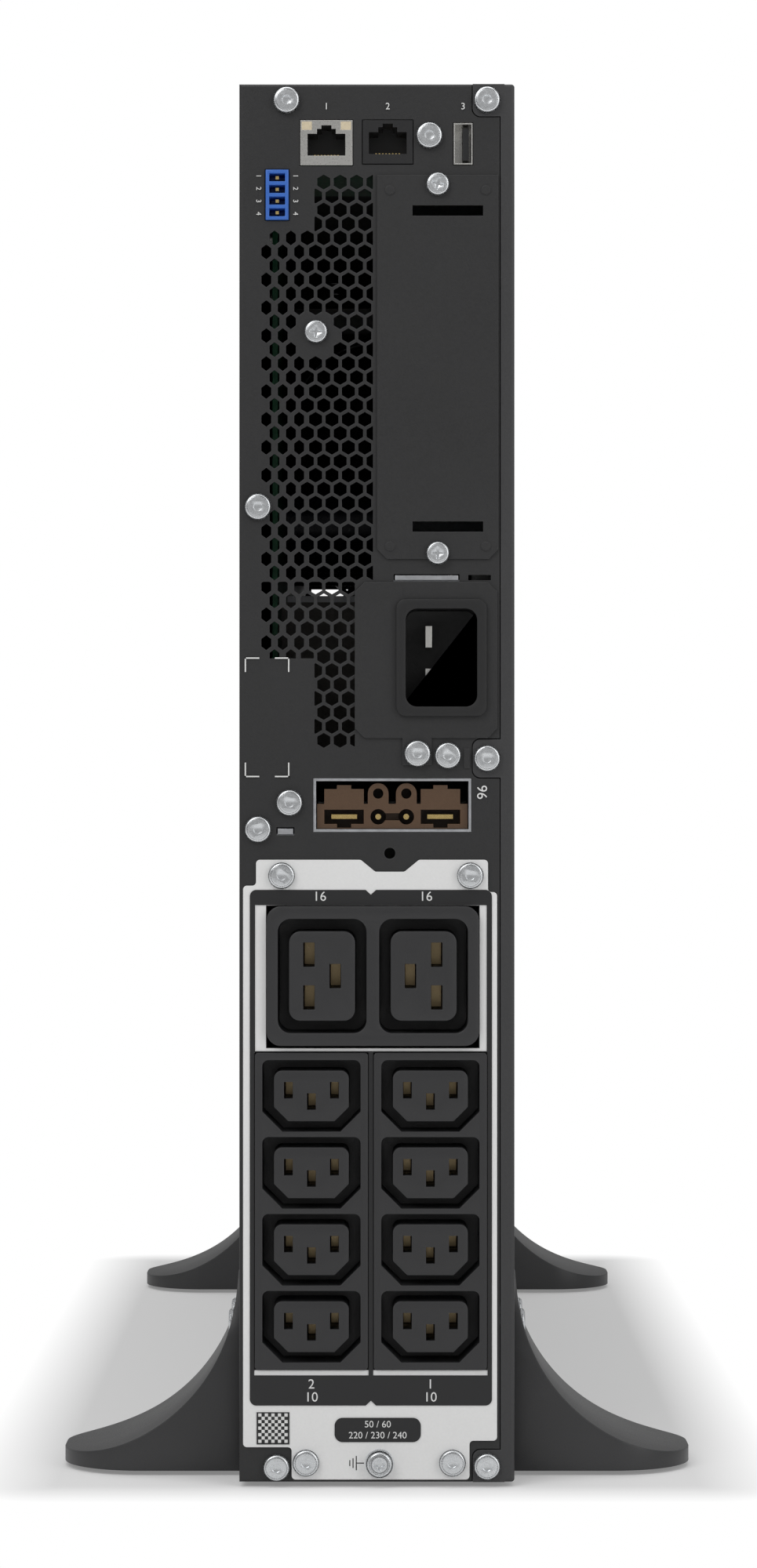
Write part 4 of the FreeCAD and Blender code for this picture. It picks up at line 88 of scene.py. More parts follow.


# %% [markdown]
# ## One network for paint, plastic and metal
# The edges of a real part catch the light because they are slightly round. The Bevel node rounds the
# shading over a fraction of a millimetre, and where its normal leaves the true one, an edge is near: that
# difference is used as a mask that paints the edges paler in the base colour, partly a painted highlight
# along every edge and partly the paler rub that hands and screwdrivers leave.


# %% The network
def finish(name, colour, rough=0.5, metal=0.0, grain=900.0, bump=0.12, drift=0.12,
           edge=0.35, edge_highlight_and_wear=1.5, coat=0.0, specular=0.5, stretch=(1, 1, 1), spread=0.08):
    material = bpy.data.materials.new(name)
    material.use_nodes = True
    tree = material.node_tree
    shader = tree.nodes["Principled BSDF"]
    shader.inputs["Metallic"].default_value = metal
    shader.inputs["Coat Weight"].default_value = coat
    shader.inputs["Specular IOR Level"].default_value = specular
    place = add(tree, "ShaderNodeTexCoord")
    mapping = add(tree, "ShaderNodeMapping", Scale=stretch)
    tree.links.new(place.outputs["Object"], mapping.inputs["Vector"])
    fine = add(tree, "ShaderNodeTexNoise", Scale=grain, Detail=3.0, Roughness=0.55)
    broad = add(tree, "ShaderNodeTexNoise", Scale=14.0, Detail=4.0, Roughness=0.6)
    for noise in (fine, broad):
        tree.links.new(mapping.outputs["Vector"], noise.inputs["Vector"])
    both = add(tree, "ShaderNodeMath", operation="MULTIPLY_ADD")
    both.inputs[1].default_value = 0.55
    tree.links.new(fine.outputs["Fac"], both.inputs[0])
    half = add(tree, "ShaderNodeMath", operation="MULTIPLY")
    half.inputs[1].default_value = 0.45
    tree.links.new(broad.outputs["Fac"], half.inputs[0])
    tree.links.new(half.outputs[0], both.inputs[2])
    body = ramp(tree, both.outputs[0], [(0.3, tint(colour, 1 - drift)), (0.7, tint(colour, 1 + drift))])

    rounded = add(tree, "ShaderNodeBevel", samples=4)
    rounded.inputs["Radius"].default_value = edge * MM
    geometry = add(tree, "ShaderNodeNewGeometry")
    meeting = add(tree, "ShaderNodeVectorMath", operation="DOT_PRODUCT")
    tree.links.new(rounded.outputs["Normal"], meeting.inputs[0])
    tree.links.new(geometry.outputs["Normal"], meeting.inputs[1])
    # This mask paints every edge paler in the base colour: a painted highlight along the edges, together
    # with wear.
    edge_highlight_mask = ramp(tree, meeting.outputs["Value"], [(0.80, 1.0), (0.985, 0.0)])
    mix = add(tree, "ShaderNodeMix", data_type="RGBA")
    tree.links.new(edge_highlight_mask, mix.inputs["Factor"])
    tree.links.new(body, mix.inputs["A"])
    mix.inputs["B"].default_value = (*tint(colour, edge_highlight_and_wear), 1)
    tree.links.new(mix.outputs["Result"], shader.inputs["Base Color"])

    smoothest = max(0.03, rough - spread)
    roughest = float(min(1, rough + spread))
    shine = ramp(tree, both.outputs[0], [(0.3, smoothest), (0.7, roughest)])
    tree.links.new(shine, shader.inputs["Roughness"])
    relief = add(tree, "ShaderNodeBump", Strength=bump, Distance=0.0002)
    tree.links.new(fine.outputs["Fac"], relief.inputs["Height"])
    tree.links.new(rounded.outputs["Normal"], relief.inputs["Normal"])
    tree.links.new(relief.outputs["Normal"], shader.inputs["Normal"])
    return material


# %% Paints
panel_coat = finish(
    "panel_coat", (0.0225, 0.0225, 0.0232), rough=0.50, grain=1500, bump=0.30, drift=0.16, edge_highlight_and_wear=2.4,
)
cover_coat = finish(
    "cover_coat", (0.044, 0.044, 0.0455), rough=0.48, grain=1500, bump=0.30, drift=0.14, edge_highlight_and_wear=1.9,
)
light_coat = finish(
    "light_coat", (0.88, 0.88, 0.875), rough=0.42, grain=1300, bump=0.10, drift=0.03, edge_highlight_and_wear=1.1,
)

# %% Plastics
socket_plastic = finish(
    "socket_plastic", (0.030, 0.030, 0.0315), rough=0.42, grain=2600, bump=0.16, edge_highlight_and_wear=1.7, edge=0.25,
)
inlet_plastic = finish(
    "inlet_plastic", (0.0115, 0.0115, 0.0120), rough=0.5, grain=2600, bump=0.16, edge_highlight_and_wear=1.6, edge=0.25,
)
foot_plastic = finish(
    "foot_plastic", (0.042, 0.042, 0.0435), rough=0.36, grain=2200, bump=0.14, edge_highlight_and_wear=1.9, edge=0.6,
)
bezel_plastic = finish(
    "bezel_plastic", (0.024, 0.024, 0.026), rough=0.45, grain=2000, bump=0.2, edge_highlight_and_wear=1.7, edge=0.4,
)
jack_plastic = finish(
    "jack_plastic", (0.018, 0.018, 0.019), rough=0.38, grain=2600, bump=0.12, edge_highlight_and_wear=1.8, edge=0.15,
)
blue_plastic = finish(
    "blue_plastic", (0.045, 0.165, 0.60), rough=0.38, grain=2400, bump=0.1, edge_highlight_and_wear=1.3, edge=0.15,
)
brown_plastic = finish(
    "brown_plastic", (0.105, 0.058, 0.030), rough=0.42, grain=2400, bump=0.12, edge_highlight_and_wear=1.5, edge=0.2,
)
key_plastic = finish(
    "key_plastic", (0.16, 0.16, 0.17), rough=0.5, grain=2600, bump=0.12, edge_highlight_and_wear=1.2, edge=0.2,
)
battery_plastic = finish(
    "battery_plastic", (0.032, 0.032, 0.036), rough=0.5, grain=1400, bump=0.25, edge_highlight_and_wear=1.5,
)
sleeve_film = finish("sleeve_film", (0.012, 0.014, 0.040), rough=0.28, grain=900, bump=0.05, edge_highlight_and_wear=1.4)
board_mask = finish(
    "board_mask", (0.012, 0.11, 0.045), rough=0.35, grain=700, bump=0.1, drift=0.25, edge_highlight_and_wear=2.5,
)
rubber = finish("rubber", (0.014, 0.014, 0.014), rough=0.75, grain=1800, bump=0.3, edge_highlight_and_wear=1.3)
label_film = finish(
    "label_film", (0.0165, 0.0165, 0.0175), rough=0.40,
    grain=3000, bump=0.05, drift=0.06, edge_highlight_and_wear=1.2, edge=0.1,
)

# %% Metals
zinc = finish(
    "zinc", (0.84, 0.86, 0.88), rough=0.27, metal=1.0,
    grain=2600, bump=0.10, drift=0.08, edge_highlight_and_wear=1.15, edge=0.15,
)
galvanised = finish(
    "galvanised", (0.52, 0.53, 0.55), rough=0.42, metal=1.0,
    grain=420, bump=0.08, drift=0.16, edge_highlight_and_wear=1.2, stretch=(1, 0.2, 1),
)
nickel = finish(
    "nickel", (0.74, 0.73, 0.70), rough=0.30, metal=1.0,
    grain=1800, bump=0.06, drift=0.06, edge_highlight_and_wear=1.1, edge=0.15,
)
brass = finish(
    "brass", (0.40, 0.31, 0.18), rough=0.33, metal=1.0, grain=1600, bump=0.05, edge_highlight_and_wear=1.1, edge=0.1,
)
gold = finish(
    "gold", (0.92, 0.68, 0.28), rough=0.28, metal=1.0, grain=1600, bump=0.04, edge_highlight_and_wear=1.1, edge=0.08,
)
fin_metal = finish(
    "fin_metal", (0.60, 0.61, 0.63), rough=0.38, metal=1.0,
    grain=900, bump=0.10, edge_highlight_and_wear=1.1, stretch=(1, 0.1, 1),
)
core_steel = finish(
    "core_steel", (0.16, 0.15, 0.14), rough=0.55, metal=0.6,
    grain=1500, bump=0.35, edge_highlight_and_wear=1.3, stretch=(1, 12, 1),
)
print("finishes", len(bpy.data.materials))


# %% [markdown]
# ## Dressing the CAD nodes
# A node keeps its mesh. Only its material slot changes, so each finish is given the list of nodes
# that wear it.

# %% Who wears what
WARDROBE = {
    panel_coat: ["rear_panel", "chassis_tray", "card_slot_cover", "inlet_plate"],
    cover_coat: ["chassis_cover"],
    light_coat: ["outlet_plate"],
    label_film: ["outlet_label"],
    socket_plastic: ["large_outlet_block", "outlet_bank_left", "outlet_bank_right"],
    inlet_plastic: ["inlet_body"],
    foot_plastic: ["foot_rear_left", "foot_rear_right", "foot_front_left", "foot_front_right"],
    bezel_plastic: ["front_bezel", "battery_cover", "display_head"],
    jack_plastic: [
        "network_jack_insert", "serial_jack", "usb_tongue", "fan_frames", "fan_rotor_upper",
        "fan_rotor_lower", "battery_handle", "battery_runners",
    ],
    blue_plastic: ["terminal_header"],
    brown_plastic: ["battery_port_housing"],
    key_plastic: ["key_up", "key_down", "key_enter", "key_escape", "power_button"],
    battery_plastic: ["battery_blocks"],
    sleeve_film: ["capacitors", "display_window"],
    board_mask: ["io_board", "power_board"],
    rubber: ["foot_pads"],
    zinc: [
        "panel_screws", "cover_screws", "card_slot_screws", "foot_screws", "ground_screw",
        "ground_washer",
    ],
    galvanised: [
        "battery_tray", "bay_divider", "front_frame", "card_cage", "bracket_hooks",
        "battery_port_tunnel",
    ],
    nickel: ["network_jack_shell", "usb_shell", "inlet_pins", "board_standoffs"],
    brass: ["outlet_terminals"],
    gold: ["port_contacts"],
    fin_metal: ["heat_sinks"],
    core_steel: ["transformer"],
}


def wear_finish(thing, material):
    thing.data.materials.clear()
    thing.data.materials.append(material)


for material, names in WARDROBE.items():
    for name in names:
        wear_finish(nodes[name], material)
lamp_plastic = finish("lamp_plastic", (0.72, 0.62, 0.44), rough=0.35, grain=1500, bump=0.04, edge_highlight_and_wear=1.1)
wear_finish(nodes["network_jack_lamps"], lamp_plastic)
print("bare nodes:", [n for n, o in nodes.items() if not o.data.materials or o.data.materials[0] is None])

# %% [markdown]
# ## Modelling helpers
# Every operator acts on what is selected, so each helper starts by deselecting everything. Faces and
# edges are then picked by place or by normal, as a hand with a mouse would pick them.

# %% Selection helpers
def start_clean():
    if bpy.context.object and bpy.context.object.mode != "OBJECT":
        bpy.ops.object.mode_set(mode="OBJECT")
    bpy.ops.object.select_all(action="DESELECT")


def only(thing):
    start_clean()
    thing.select_set(True)
    bpy.context.view_layer.objects.active = thing
    return thing


def settle(thing):
    """Puts a piece's place into its mesh, so that its object sits unturned at the origin."""
    only(thing)
    bpy.ops.object.transform_apply(location=True, rotation=True, scale=True)
    return thing


def apply_modifier(thing, kind, **values):
    modifier = thing.modifiers.new(kind.title(), kind)
    for name, value in values.items():
        setattr(modifier, name, value)
    only(thing)
    bpy.ops.object.modifier_apply(modifier=modifier.name)
    return thing


def join(name, pieces):
    start_clean()
    for piece in pieces:
        piece.select_set(True)
    bpy.context.view_layer.objects.active = pieces[0]
    if len(pieces) > 1:
        bpy.ops.object.join()
    pieces[0].name = name
    pieces[0].data.name = name
    return pieces[0]


def copy_at(master, name, move, turn=0.0):
    """A copy with a mesh of its own, turned about Y and moved."""
    twin = master.copy()
    twin.data = master.data.copy()
    twin.name = name
    bpy.context.scene.collection.objects.link(twin)
    twin.rotation_euler = (0, turn, 0)
    twin.location = move
    return settle(twin)


def ready(piece, body, material, smooth=30):
    only(piece)
    wear_finish(piece, material)
    bpy.ops.object.shade_smooth_by_angle(angle=math.radians(smooth))
    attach(piece, body)
    return piece


# %% [markdown]
# ## Softened mouldings
# A moulded part has no knife edges: the tool that makes it has a small radius everywhere. A copy of
# the CAD mesh is merged, its flat triangles are dissolved into whole faces, and a narrow bevel rounds
# what is left. The CAD node stays underneath for collision and the copy is shown in its place.

# %% Soften
def soften(name, body, material, width, angle=35, segments=2):
    twin = nodes[name].copy()
    twin.data = nodes[name].data.copy()
    twin.name = f"{name}_moulding"
    bpy.context.scene.collection.objects.link(twin)
    twin.parent = None
    for key in [k for k in twin.keys() if k.startswith("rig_")]:
        del twin[key]
    only(twin)
    bpy.ops.object.mode_set(mode="EDIT")
    bpy.ops.mesh.select_all(action="SELECT")
    bpy.ops.mesh.remove_doubles(threshold=0.00001)
    bpy.ops.mesh.dissolve_limited(angle_limit=math.radians(1.0))
    bpy.ops.object.mode_set(mode="OBJECT")
    before = len(twin.data.polygons)
    apply_modifier(
        twin, "BEVEL", width=width, segments=segments, limit_method="ANGLE",
        angle_limit=math.radians(angle), use_clamp_overlap=True, harden_normals=False,
    )
    apply_modifier(twin, "TRIANGULATE")
    ready(twin, body, material)
    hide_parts(name)
    print(name, before, "faces, softened to", len(twin.data.polygons))
    return twin


for name in ("foot_rear_left", "foot_rear_right", "foot_front_left", "foot_front_right"):
    soften(name, "chassis", foot_plastic, 0.0009, segments=3)
for name in ("outlet_bank_left", "outlet_bank_right", "large_outlet_block"):
    soften(name, "chassis", socket_plastic, 0.00022)
soften("inlet_body", "chassis", inlet_plastic, 0.00022)
soften("terminal_header", "chassis", blue_plastic, 0.00015)
soften("display_head", "display", bezel_plastic, 0.0004)

# %% [markdown]
# ## Pressed screw heads
# The heads are cold-forged: a shallow dome, a star- or cross-shaped drive that a punch leaves with
# soft lips, and a serrated flange beneath that bites into the paint. The dome is a cylinder whose
# front rim is bevelled; the drive is cut with a prism; the flange is a thin disc with every second
# corner pulled in. One master of each kind is copied to every place where the CAD has a screw.

# %% A drive punch
def star_prism(corners, radius, inner, depth):
    """A prism along Y whose every second corner is pulled inwards."""
    start_clean()
    bpy.ops.mesh.primitive_cylinder_add(
        vertices=corners * 2, radius=radius, depth=depth, rotation=(math.pi / 2, 0, 0)
    )
    prism = settle(bpy.context.object)
    for index, vertex in enumerate(prism.data.vertices):
        vertex.select = (index // 2) % 2 == 1
    bpy.ops.object.mode_set(mode="EDIT")
    bpy.ops.mesh.select_mode(type="VERT")
    bpy.ops.transform.resize(value=(inner, 1, inner), center_override=(0, 0, 0))
    bpy.ops.object.mode_set(mode="OBJECT")
    return prism


def cross_prism(reach, width, depth):
    """Two bars along Y, crossed and made one."""
    arms = []
    for turn in (0, math.pi / 2):
        start_clean()
        bpy.ops.mesh.primitive_cube_add(size=1, scale=(reach * 2, depth, width), rotation=(0, turn, 0))
        arms.append(settle(bpy.context.object))
    apply_modifier(arms[0], "BOOLEAN", operation="UNION", solver="EXACT", object=arms[1])
    bpy.data.objects.remove(arms[1])
    return arms[0]


# %% A screw master
HEAD_SIDES = 56
SHAFT_SIDES = 24
TOOTH_COUNT = 22
TOOTH_DEPTH = 0.95  # the inner radius of the teeth as a share of the outer
TOOTH_THICKNESS = 0.5 * MM
DOME = 0.62  # the share of the head's height that is rounded
ALONG_Y = (math.pi / 2, 0, 0)


def forged_screw(name, radius, height, drive, shaft_radius=2 * MM, shaft_length=7 * MM):
    """A head with its drive, its toothed flange and its plain shaft, seated at Y = 0."""
    start_clean()
    bpy.ops.mesh.primitive_cylinder_add(
        vertices=HEAD_SIDES, radius=radius, depth=height, location=(0, -height / 2, 0), rotation=ALONG_Y
    )
    head = settle(bpy.context.object)
    head.name = name
    for edge in head.data.edges:
        edge.select = all(head.data.vertices[v].co.y < -height * 0.99 for v in edge.vertices)
    bpy.ops.object.mode_set(mode="EDIT")
    bpy.ops.mesh.select_mode(type="EDGE")
    bpy.ops.mesh.bevel(offset=height * DOME, segments=6, profile=0.62, affect="EDGES")
    bpy.ops.object.mode_set(mode="OBJECT")
    drive.location = (0, -height, 0)
    settle(drive)
    apply_modifier(head, "BOOLEAN", operation="DIFFERENCE", solver="EXACT", object=drive)
    bpy.data.objects.remove(drive)
    apply_modifier(
        head, "BEVEL", width=0.00012, segments=2, limit_method="ANGLE",
        angle_limit=math.radians(40), use_clamp_overlap=True,
    )
    start_clean()
    bpy.ops.mesh.primitive_cylinder_add(
        vertices=SHAFT_SIDES, radius=shaft_radius, depth=shaft_length,
        location=(0, shaft_length / 2, 0), rotation=ALONG_Y,
    )
    shaft = settle(bpy.context.object)
    teeth = star_prism(TOOTH_COUNT, radius, TOOTH_DEPTH, TOOTH_THICKNESS)
    teeth.location = (0, -0.26 * MM, 0)
    settle(teeth)
    return join(name, [head, shaft, teeth])


masters = {
    "lobe": forged_screw("lobe_master", 4.00 * MM, 2.3 * MM, star_prism(6, 2.32 * MM, 0.60, 2.6 * MM)),
    "cross": forged_screw(
        "cross_master", 3.50 * MM, 2.1 * MM, cross_prism(1.90 * MM, 0.85 * MM, 2.4 * MM), 1.5 * MM, 6 * MM
    ),
    "earth": forged_screw("earth_master", 3.95 * MM, 3.0 * MM, cross_prism(1.65 * MM, 1.00 * MM, 3.0 * MM)),
}
print({kind: len(master.data.polygons) for kind, master in masters.items()})


# %% [markdown]
# ## Where the screws go
# The CAD holds each group of screws as loose islands of one mesh. Walking the islands gives each
# screw's box, and from it the head's middle, its face and its size, so no place is typed twice.

# %% Islands of a CAD node
def islands(name):
    """The (lowest, highest) corners of each loose part of a node."""
    mesh = nodes[name].data
    spots = {}
    keys = [tuple(round(c, 6) for c in v.co) for v in mesh.vertices]
    for key in keys:
        spots.setdefault(key, key)

    def root(key):
        while spots[key] != key:
            spots[key] = spots[spots[key]]
            key = spots[key]
        return key

    for polygon in mesh.polygons:
        first = root(keys[polygon.vertices[0]])
        for index in polygon.vertices[1:]:
            spots[root(keys[index])] = first
            first = root(first)
    boxes = {}
    for key in spots:
        boxes.setdefault(root(key), []).append(key)
    return [
        tuple(Vector(pick(p[i] for p in points) for i in range(3)) for pick in (min, max))
        for points in boxes.values()
    ]


# %% Place the screws
TURN_STEP = 2.399  # an uneven step, so that no two neighbours stop at the same angle


def place_screws(node, body, kind_of, sideways=False):
    """Copies masters over a node's screws, which run along Y, or along X when sideways."""
    placed = []
    for i, (low, high) in enumerate(sorted(islands(node), key=lambda b: tuple(b[0]))):
        kind = kind_of(low, high)
        turn = (i * TURN_STEP) % (math.pi / 3)
        master = masters[kind]
        height = -min(v.co.y for v in master.data.vertices)
        centre = (low + high) / 2
        if sideways:
            outward = 1 if centre.x > 0 else -1
            face = max(abs(low.x), abs(high.x)) - height
            twin = copy_at(master, f"{node}_{i}", (0, 0, 0), turn)
            twin.rotation_euler = (0, 0, math.pi / 2 * outward)
            twin.location = (face * outward, centre.y, centre.z)
            placed.append(settle(twin))
        else:
            placed.append(copy_at(master, f"{node}_{i}", (centre.x, low.y + height, centre.z), turn))
    piece = join(f"{node}_forged", placed)
    ready(piece, body, zinc, 35)
    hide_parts(node)
    print(node, len(placed), "screws")


def by_width(low, high):
    return "lobe" if high.x - low.x > 7.5 * MM else "cross"


place_screws("panel_screws", "chassis", by_width)
place_screws("cover_screws", "chassis", by_width)
place_screws("card_slot_screws", "card_lid", by_width)
place_screws("foot_screws", "chassis", lambda low, high: "lobe", sideways=True)
place_screws("ground_screw", "chassis", lambda low, high: "earth")

# %% The earth screw's toothed washer
low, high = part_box("ground_washer")
washer = star_prism(26, (high.x - low.x) / 2, 0.93, high.y - low.y)
washer.location = (low + high) / 2
settle(washer)
apply_modifier(washer, "BEVEL", width=0.0001, segments=2)
washer.name = "ground_washer_toothed"
ready(washer, "chassis", zinc)
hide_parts("ground_washer")
for master in masters.values():
    bpy.data.objects.remove(master)

# %% [markdown]
# ## Print
# The legends are silk-screened: a film of ink a few hundredths of a millimetre thick. Lines are thin
# plates and numbers are text made into a mesh with the same thin wall, left standing on the paint.
# Only plain numbers and plain shapes are printed.

# %% Inks
white_ink = finish(
    "white_ink", (0.80, 0.80, 0.79), rough=0.55, grain=3500, bump=0.05, drift=0.05, edge_highlight_and_wear=1.0, edge=0.02,
)
dark_ink = finish(
    "dark_ink", (0.018, 0.018, 0.018), rough=0.5, grain=3500, bump=0.05, drift=0.05, edge_highlight_and_wear=1.0, edge=0.02,
)
INK = 0.04 * MM
CAP_SHARE = 0.72  # the height of a figure as a share of the text size


def stroke(x, z, surface):
    """A flat bar of ink between two X values and two Z values."""
    start_clean()
    bpy.ops.mesh.primitive_cube_add(
        size=1,
        location=((x[0] + x[1]) / 2, surface - INK / 2, (z[0] + z[1]) / 2),
        scale=(abs(x[1] - x[0]), INK, abs(z[1] - z[0])),
    )
    return settle(bpy.context.object)


def number(text, x, z, surface, cap, turn=0.0):
    """A number centred on a point, and turned clockwise as it is seen from behind the unit."""
    start_clean()
    bpy.ops.object.text_add(location=(x, surface - INK / 2, z), rotation=(math.pi / 2, turn, 0))
    thing = bpy.context.object
    thing.data.body = text
    thing.data.align_x = "CENTER"
    thing.data.align_y = "CENTER"
    thing.data.size = cap / CAP_SHARE
    thing.data.extrude = INK / 2
    thing.data.resolution_u = 6
    only(thing)
    bpy.ops.object.convert(target="MESH")
    return settle(bpy.context.object)


def printed(name, body, ink, pieces):
    ready(join(name, pieces), body, ink)
    print(name, len(pieces), "marks")


# %% Marks on the rear panel
panel_low, panel_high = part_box("rear_panel")
panel_face = panel_low.y
SIDEWAYS = math.pi / 2
TERMINAL_WAYS = 4
TERMINAL_CAP = 1.6 * MM
TERMINAL_GAP = (2.2 * MM, 2.1 * MM)  # from the header's left and right sides to the figures
term_low, term_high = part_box("terminal_header")
marks = []
cell = (term_high.z - term_low.z) / TERMINAL_WAYS
for i in range(TERMINAL_WAYS):
    z = term_high.z - cell * (i + 0.5)
    for x in (term_low.x - TERMINAL_GAP[0], term_high.x + TERMINAL_GAP[1]):
        marks.append(number(str(i + 1), x, z, panel_face, TERMINAL_CAP, SIDEWAYS))
JACK_CAP = 2.1 * MM
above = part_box("network_jack_shell")[1].z + 4.2 * MM
for text, name in (("1", "network_jack_shell"), ("2", "serial_jack"), ("3", "usb_shell")):
    jack_low, jack_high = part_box(name)
    marks.append(number(text, (jack_low.x + jack_high.x) / 2, above, panel_face, JACK_CAP))
PORT_CAP = 3.2 * MM
port_low, port_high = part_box("battery_port_tunnel")
port_z = (port_low.z + port_high.z) / 2 + 4 * MM
marks.append(number("96", port_high.x + PORT_CAP, port_z, panel_face, PORT_CAP, SIDEWAYS))
frame_left = panel_low.x + 1.7 * MM
frame_right = panel_low.x + 15.5 * MM
frame_high = panel_high.z - 177.2 * MM
frame_low = panel_high.z - 214.2 * MM
arm = 4.5 * MM
width = 0.42 * MM
for x, way in ((frame_left, 1), (frame_right, -1)):
    for z, up in ((frame_high, -1), (frame_low, 1)):
        marks.append(stroke((x, x + arm * way), (z, z + width * up), panel_face))
        marks.append(stroke((x, x + width * way), (z, z + arm * up), panel_face))
printed("panel_print", "chassis", white_ink, marks)

# %% Marks on the outlet label
label_low, label_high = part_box("outlet_label")
label_face = label_low.y
big_low, big_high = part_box("large_outlet_block")
marks = []
quarter = (big_high.x - big_low.x) / 4
LABEL_CAP = 3 * MM
for x in (big_low.x + quarter, big_high.x - quarter):
    marks.append(number("16", x, (big_high.z + label_high.z) / 2 + 0.4 * MM, label_face, LABEL_CAP))
banks = {"2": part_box("outlet_bank_left"), "1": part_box("outlet_bank_right")}
for text, (low, high) in banks.items():
    middle_x = (low.x + high.x) / 2
    marks.append(number(text, middle_x, low.z - 4.6 * MM, label_face, LABEL_CAP))
    marks.append(number("10", middle_x, low.z - 8.6 * MM, label_face, LABEL_CAP))
PILL_CAP = 2.1 * MM
PILL_LINE = 1.7 * MM  # from the pill's middle to each of its two lines
pill_z = 17.75 * MM
pill_x = (label_low.x + label_high.x) / 2 + 2.1 * MM
marks.append(number("50 / 60", pill_x, pill_z + PILL_LINE, label_face, PILL_CAP))
marks.append(number("220 / 230 / 240", pill_x, pill_z - PILL_LINE, label_face, PILL_CAP))
CHECKS = 9
CHECK_PITCH = 1.01 * MM
check_side = CHECK_PITCH * 0.98
for row in range(CHECKS):
    for column in range(row % 2, CHECKS, 2):
        x = label_low.x + 2.6 * MM + column * CHECK_PITCH
        z = 13.8 * MM + row * CHECK_PITCH
        marks.append(stroke((x, x + check_side), (z, z + check_side), label_face))
printed("label_print", "chassis", white_ink, marks)

# %% The earth mark beside its screw
plate_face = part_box("outlet_plate")[0].y
low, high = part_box("ground_screw")
centre_z = (low.z + high.z) / 2
edge_x = low.x - 0.8 * MM
STEM = 2.2 * MM
STEM_HALF = 0.15 * MM
EARTH_BARS = (2.2 * MM, 1.5 * MM, 0.9 * MM)  # half lengths, from the stem outwards
EARTH_BAR_WIDTH = 0.32 * MM
marks = [stroke((edge_x - STEM, edge_x), (centre_z - STEM_HALF, centre_z + STEM_HALF), plate_face)]
for step, half in enumerate(EARTH_BARS):
    x = edge_x - STEM - step * MM
    marks.append(stroke((x - EARTH_BAR_WIDTH, x), (centre_z - half, centre_z + half), plate_face))
printed("earth_mark", "chassis", dark_ink, marks)

# %% [markdown]
# ## The lit display
# The display is a dark window with pale segments. The segments are thin plates that stand on the
# window's face: bars for the load and a plain number, in a soft cold white.

# %% Segments
glow = bpy.data.materials.new("segment_glow")
glow.use_nodes = True
tree = glow.node_tree
shader = tree.nodes["Principled BSDF"]
place = add(tree, "ShaderNodeTexCoord")
grid = add(tree, "ShaderNodeTexNoise", Scale=3000.0, Detail=1.0)
tree.links.new(place.outputs["Object"], grid.inputs["Vector"])
tone = ramp(tree, grid.outputs["Fac"], [(0.3, (0.45, 0.62, 0.72)), (0.7, (0.62, 0.80, 0.90))])
tree.links.new(tone, shader.inputs["Base Color"])
tree.links.new(tone, shader.inputs["Emission Color"])
shader.inputs["Emission Strength"].default_value = 0.5


def front_stroke(x, z, surface):
    """A bar of ink that stands on a face that looks forwards."""
    bar = stroke(x, z, surface)
    bar.location.y += INK
    return settle(bar)


BAR_COUNT = 5
BAR_PITCH = 3.2 * MM
BAR_WIDTH = 2.2 * MM
BAR_RISE = 2.2 * MM  # how much taller each bar is than the one before
window_low, window_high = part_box("display_window")
screen_face = window_high.y
bars = []
for i in range(BAR_COUNT):
    x = window_high.x - 6 * MM - i * BAR_PITCH
    foot = window_low.z + 4 * MM
    bars.append(front_stroke((x - BAR_WIDTH, x), (foot, foot + 2.5 * MM + i * BAR_RISE), screen_face))
digits_x = window_low.x + 11.5 * MM
digits = number("75", digits_x, (window_low.z + window_high.z) / 2, screen_face, 9 * MM)
digits.rotation_euler = (0, 0, math.pi)
digits.location = (digits_x * 2, (screen_face - INK / 2) * 2 + INK, 0)
bars.append(settle(digits))
segments = join("display_segments", bars)
ready(segments, "display", glow)
print("display pieces", len(bars))

# %% [markdown]
# ## Stage, lights and camera
# The camera stands square behind the unit at half its height, as the object is usually shown in a
# catalogue. The floor and the world look white to the camera, while the object itself is lit at a
# plain level, so its dark paint stays dark.

# %% Floor and world
IMAGE = (965, 2000)
VIEW_HEIGHT = 0.4843  # what the frame takes in at the rear panel
DISTANCE = 1.340


def camera_white(tree, shade, share):
    """Mixes a shader with plain white, for rays from the camera and through clear surfaces."""
    path = add(tree, "ShaderNodeLightPath")
    white = add(tree, "ShaderNodeEmission", Color=(1, 1, 1, 1), Strength=1.0)
    seen = add(tree, "ShaderNodeMath", operation="MAXIMUM")
    tree.links.new(path.outputs["Is Camera Ray"], seen.inputs[0])
    tree.links.new(path.outputs["Is Transmission Ray"], seen.inputs[1])
    scaled = add(tree, "ShaderNodeMath", operation="MULTIPLY")
    if isinstance(share, (int, float)):
        scaled.inputs[1].default_value = share
    else:
        tree.links.new(share, scaled.inputs[1])
    tree.links.new(seen.outputs[0], scaled.inputs[0])
    mix = add(tree, "ShaderNodeMixShader")
    tree.links.new(scaled.outputs[0], mix.inputs["Fac"])
    tree.links.new(shade, mix.inputs[1])
    tree.links.new(white.outputs[0], mix.inputs[2])
    return mix.outputs[0]


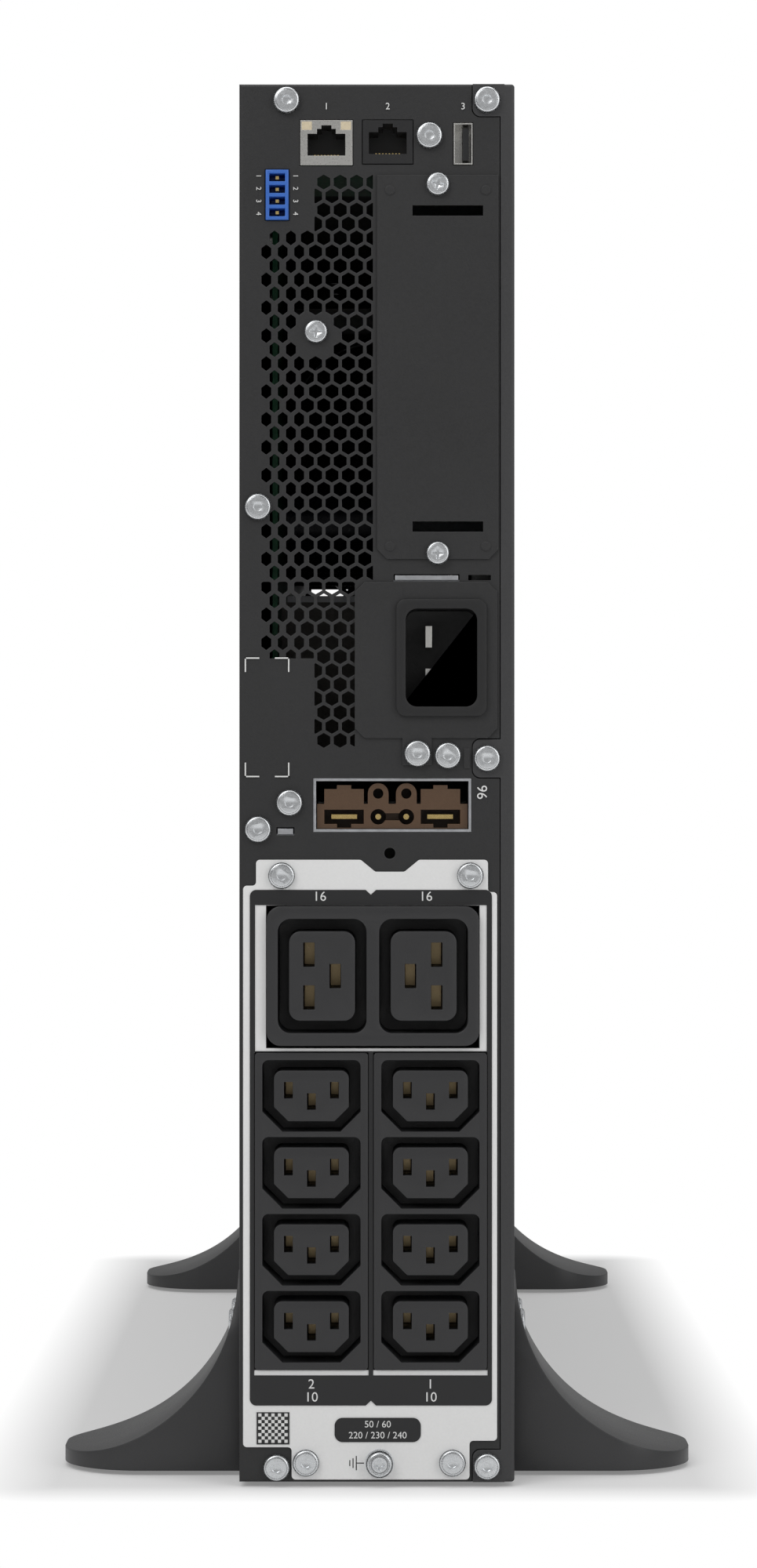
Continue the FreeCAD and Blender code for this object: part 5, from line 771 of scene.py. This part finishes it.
bpy.ops.object.select_all(action="DESELECT")
bpy.ops.mesh.primitive_plane_add(size=40, location=(0, 0, 0))
floor = bpy.context.object
floor.name = "studio_floor"
paper = bpy.data.materials.new("studio_paper")
paper.use_nodes = True
tree = paper.node_tree
matt = tree.nodes["Principled BSDF"]
matt.inputs["Base Color"].default_value = (0.86, 0.86, 0.86, 1)
matt.inputs["Roughness"].default_value = 0.9
matt.inputs["Specular IOR Level"].default_value = 0.1
output = tree.nodes["Material Output"]
foot_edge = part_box("foot_rear_right")[1].x
rear_edge = abs(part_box("chassis_tray")[0].y)
spot = add(tree, "ShaderNodeTexCoord")
parts = add(tree, "ShaderNodeSeparateXYZ")
tree.links.new(spot.outputs["Object"], parts.inputs[0])
squares = []
for axis, reach in (("X", foot_edge), ("Y", rear_edge)):
    away = add(tree, "ShaderNodeMath", operation="ABSOLUTE")
    tree.links.new(parts.outputs[axis], away.inputs[0])
    past = add(tree, "ShaderNodeMath", operation="SUBTRACT")
    past.inputs[1].default_value = reach
    tree.links.new(away.outputs[0], past.inputs[0])
    clear = add(tree, "ShaderNodeMath", operation="MAXIMUM")
    clear.inputs[1].default_value = 0.0
    tree.links.new(past.outputs[0], clear.inputs[0])
    square = add(tree, "ShaderNodeMath", operation="POWER")
    square.inputs[1].default_value = 2.0
    tree.links.new(clear.outputs[0], square.inputs[0])
    squares.append(square)
total = add(tree, "ShaderNodeMath", operation="ADD")
tree.links.new(squares[0].outputs[0], total.inputs[0])
tree.links.new(squares[1].outputs[0], total.inputs[1])
distance = add(tree, "ShaderNodeMath", operation="SQRT")
tree.links.new(total.outputs[0], distance.inputs[0])
fade = add(tree, "ShaderNodeMapRange")
for socket, value in (("From Min", 0.0), ("From Max", 0.030), ("To Min", 0.22), ("To Max", 1.0)):
    fade.inputs[socket].default_value = value
tree.links.new(distance.outputs[0], fade.inputs["Value"])
share = fade.outputs["Result"]
tree.links.new(camera_white(tree, matt.outputs[0], share), output.inputs["Surface"])
floor.data.materials.append(paper)

world = bpy.data.worlds.new("studio")
bpy.context.scene.world = world
world.use_nodes = True
tree = world.node_tree
sky = tree.nodes["Background"]
sky.inputs["Color"].default_value = (1, 1, 1, 1)
sky.inputs["Strength"].default_value = 0.32
tree.links.new(camera_white(tree, sky.outputs[0], 1.0), tree.nodes["World Output"].inputs["Surface"])


# %% Lights
def softbox(name, at, aim, width, height, power):
    bpy.ops.object.light_add(type="AREA", location=at)
    lamp = bpy.context.object
    lamp.name = name
    lamp.data.shape = "RECTANGLE"
    lamp.data.size, lamp.data.size_y = width, height
    lamp.data.energy = power
    lamp.rotation_euler = (Vector(aim) - Vector(at)).to_track_quat("-Z", "Y").to_euler()
    return lamp


low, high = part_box("rear_panel")
middle = (low + high) / 2
softbox("key_light", (-0.9, -1.6, 1.5), middle, 1.2, 1.2, 11)
softbox("fill_light", (1.2, -1.4, 0.8), middle, 1.0, 1.4, 6)
softbox("top_light", (0, 0.1, 1.9), (0, 0, 0), 1.6, 2.2, 14)

# %% Camera
bpy.ops.object.camera_add(
    location=(0.0005, low.y - DISTANCE, 0.2172), rotation=(math.pi / 2, 0, 0)
)
camera = bpy.context.object
camera.data.sensor_fit = "VERTICAL"
camera.data.sensor_height = 24
camera.data.lens = 12 / (VIEW_HEIGHT / 2 / DISTANCE)
camera.data.clip_start = 0.05
bpy.context.scene.camera = camera
bpy.context.scene.view_settings.view_transform = "Standard"
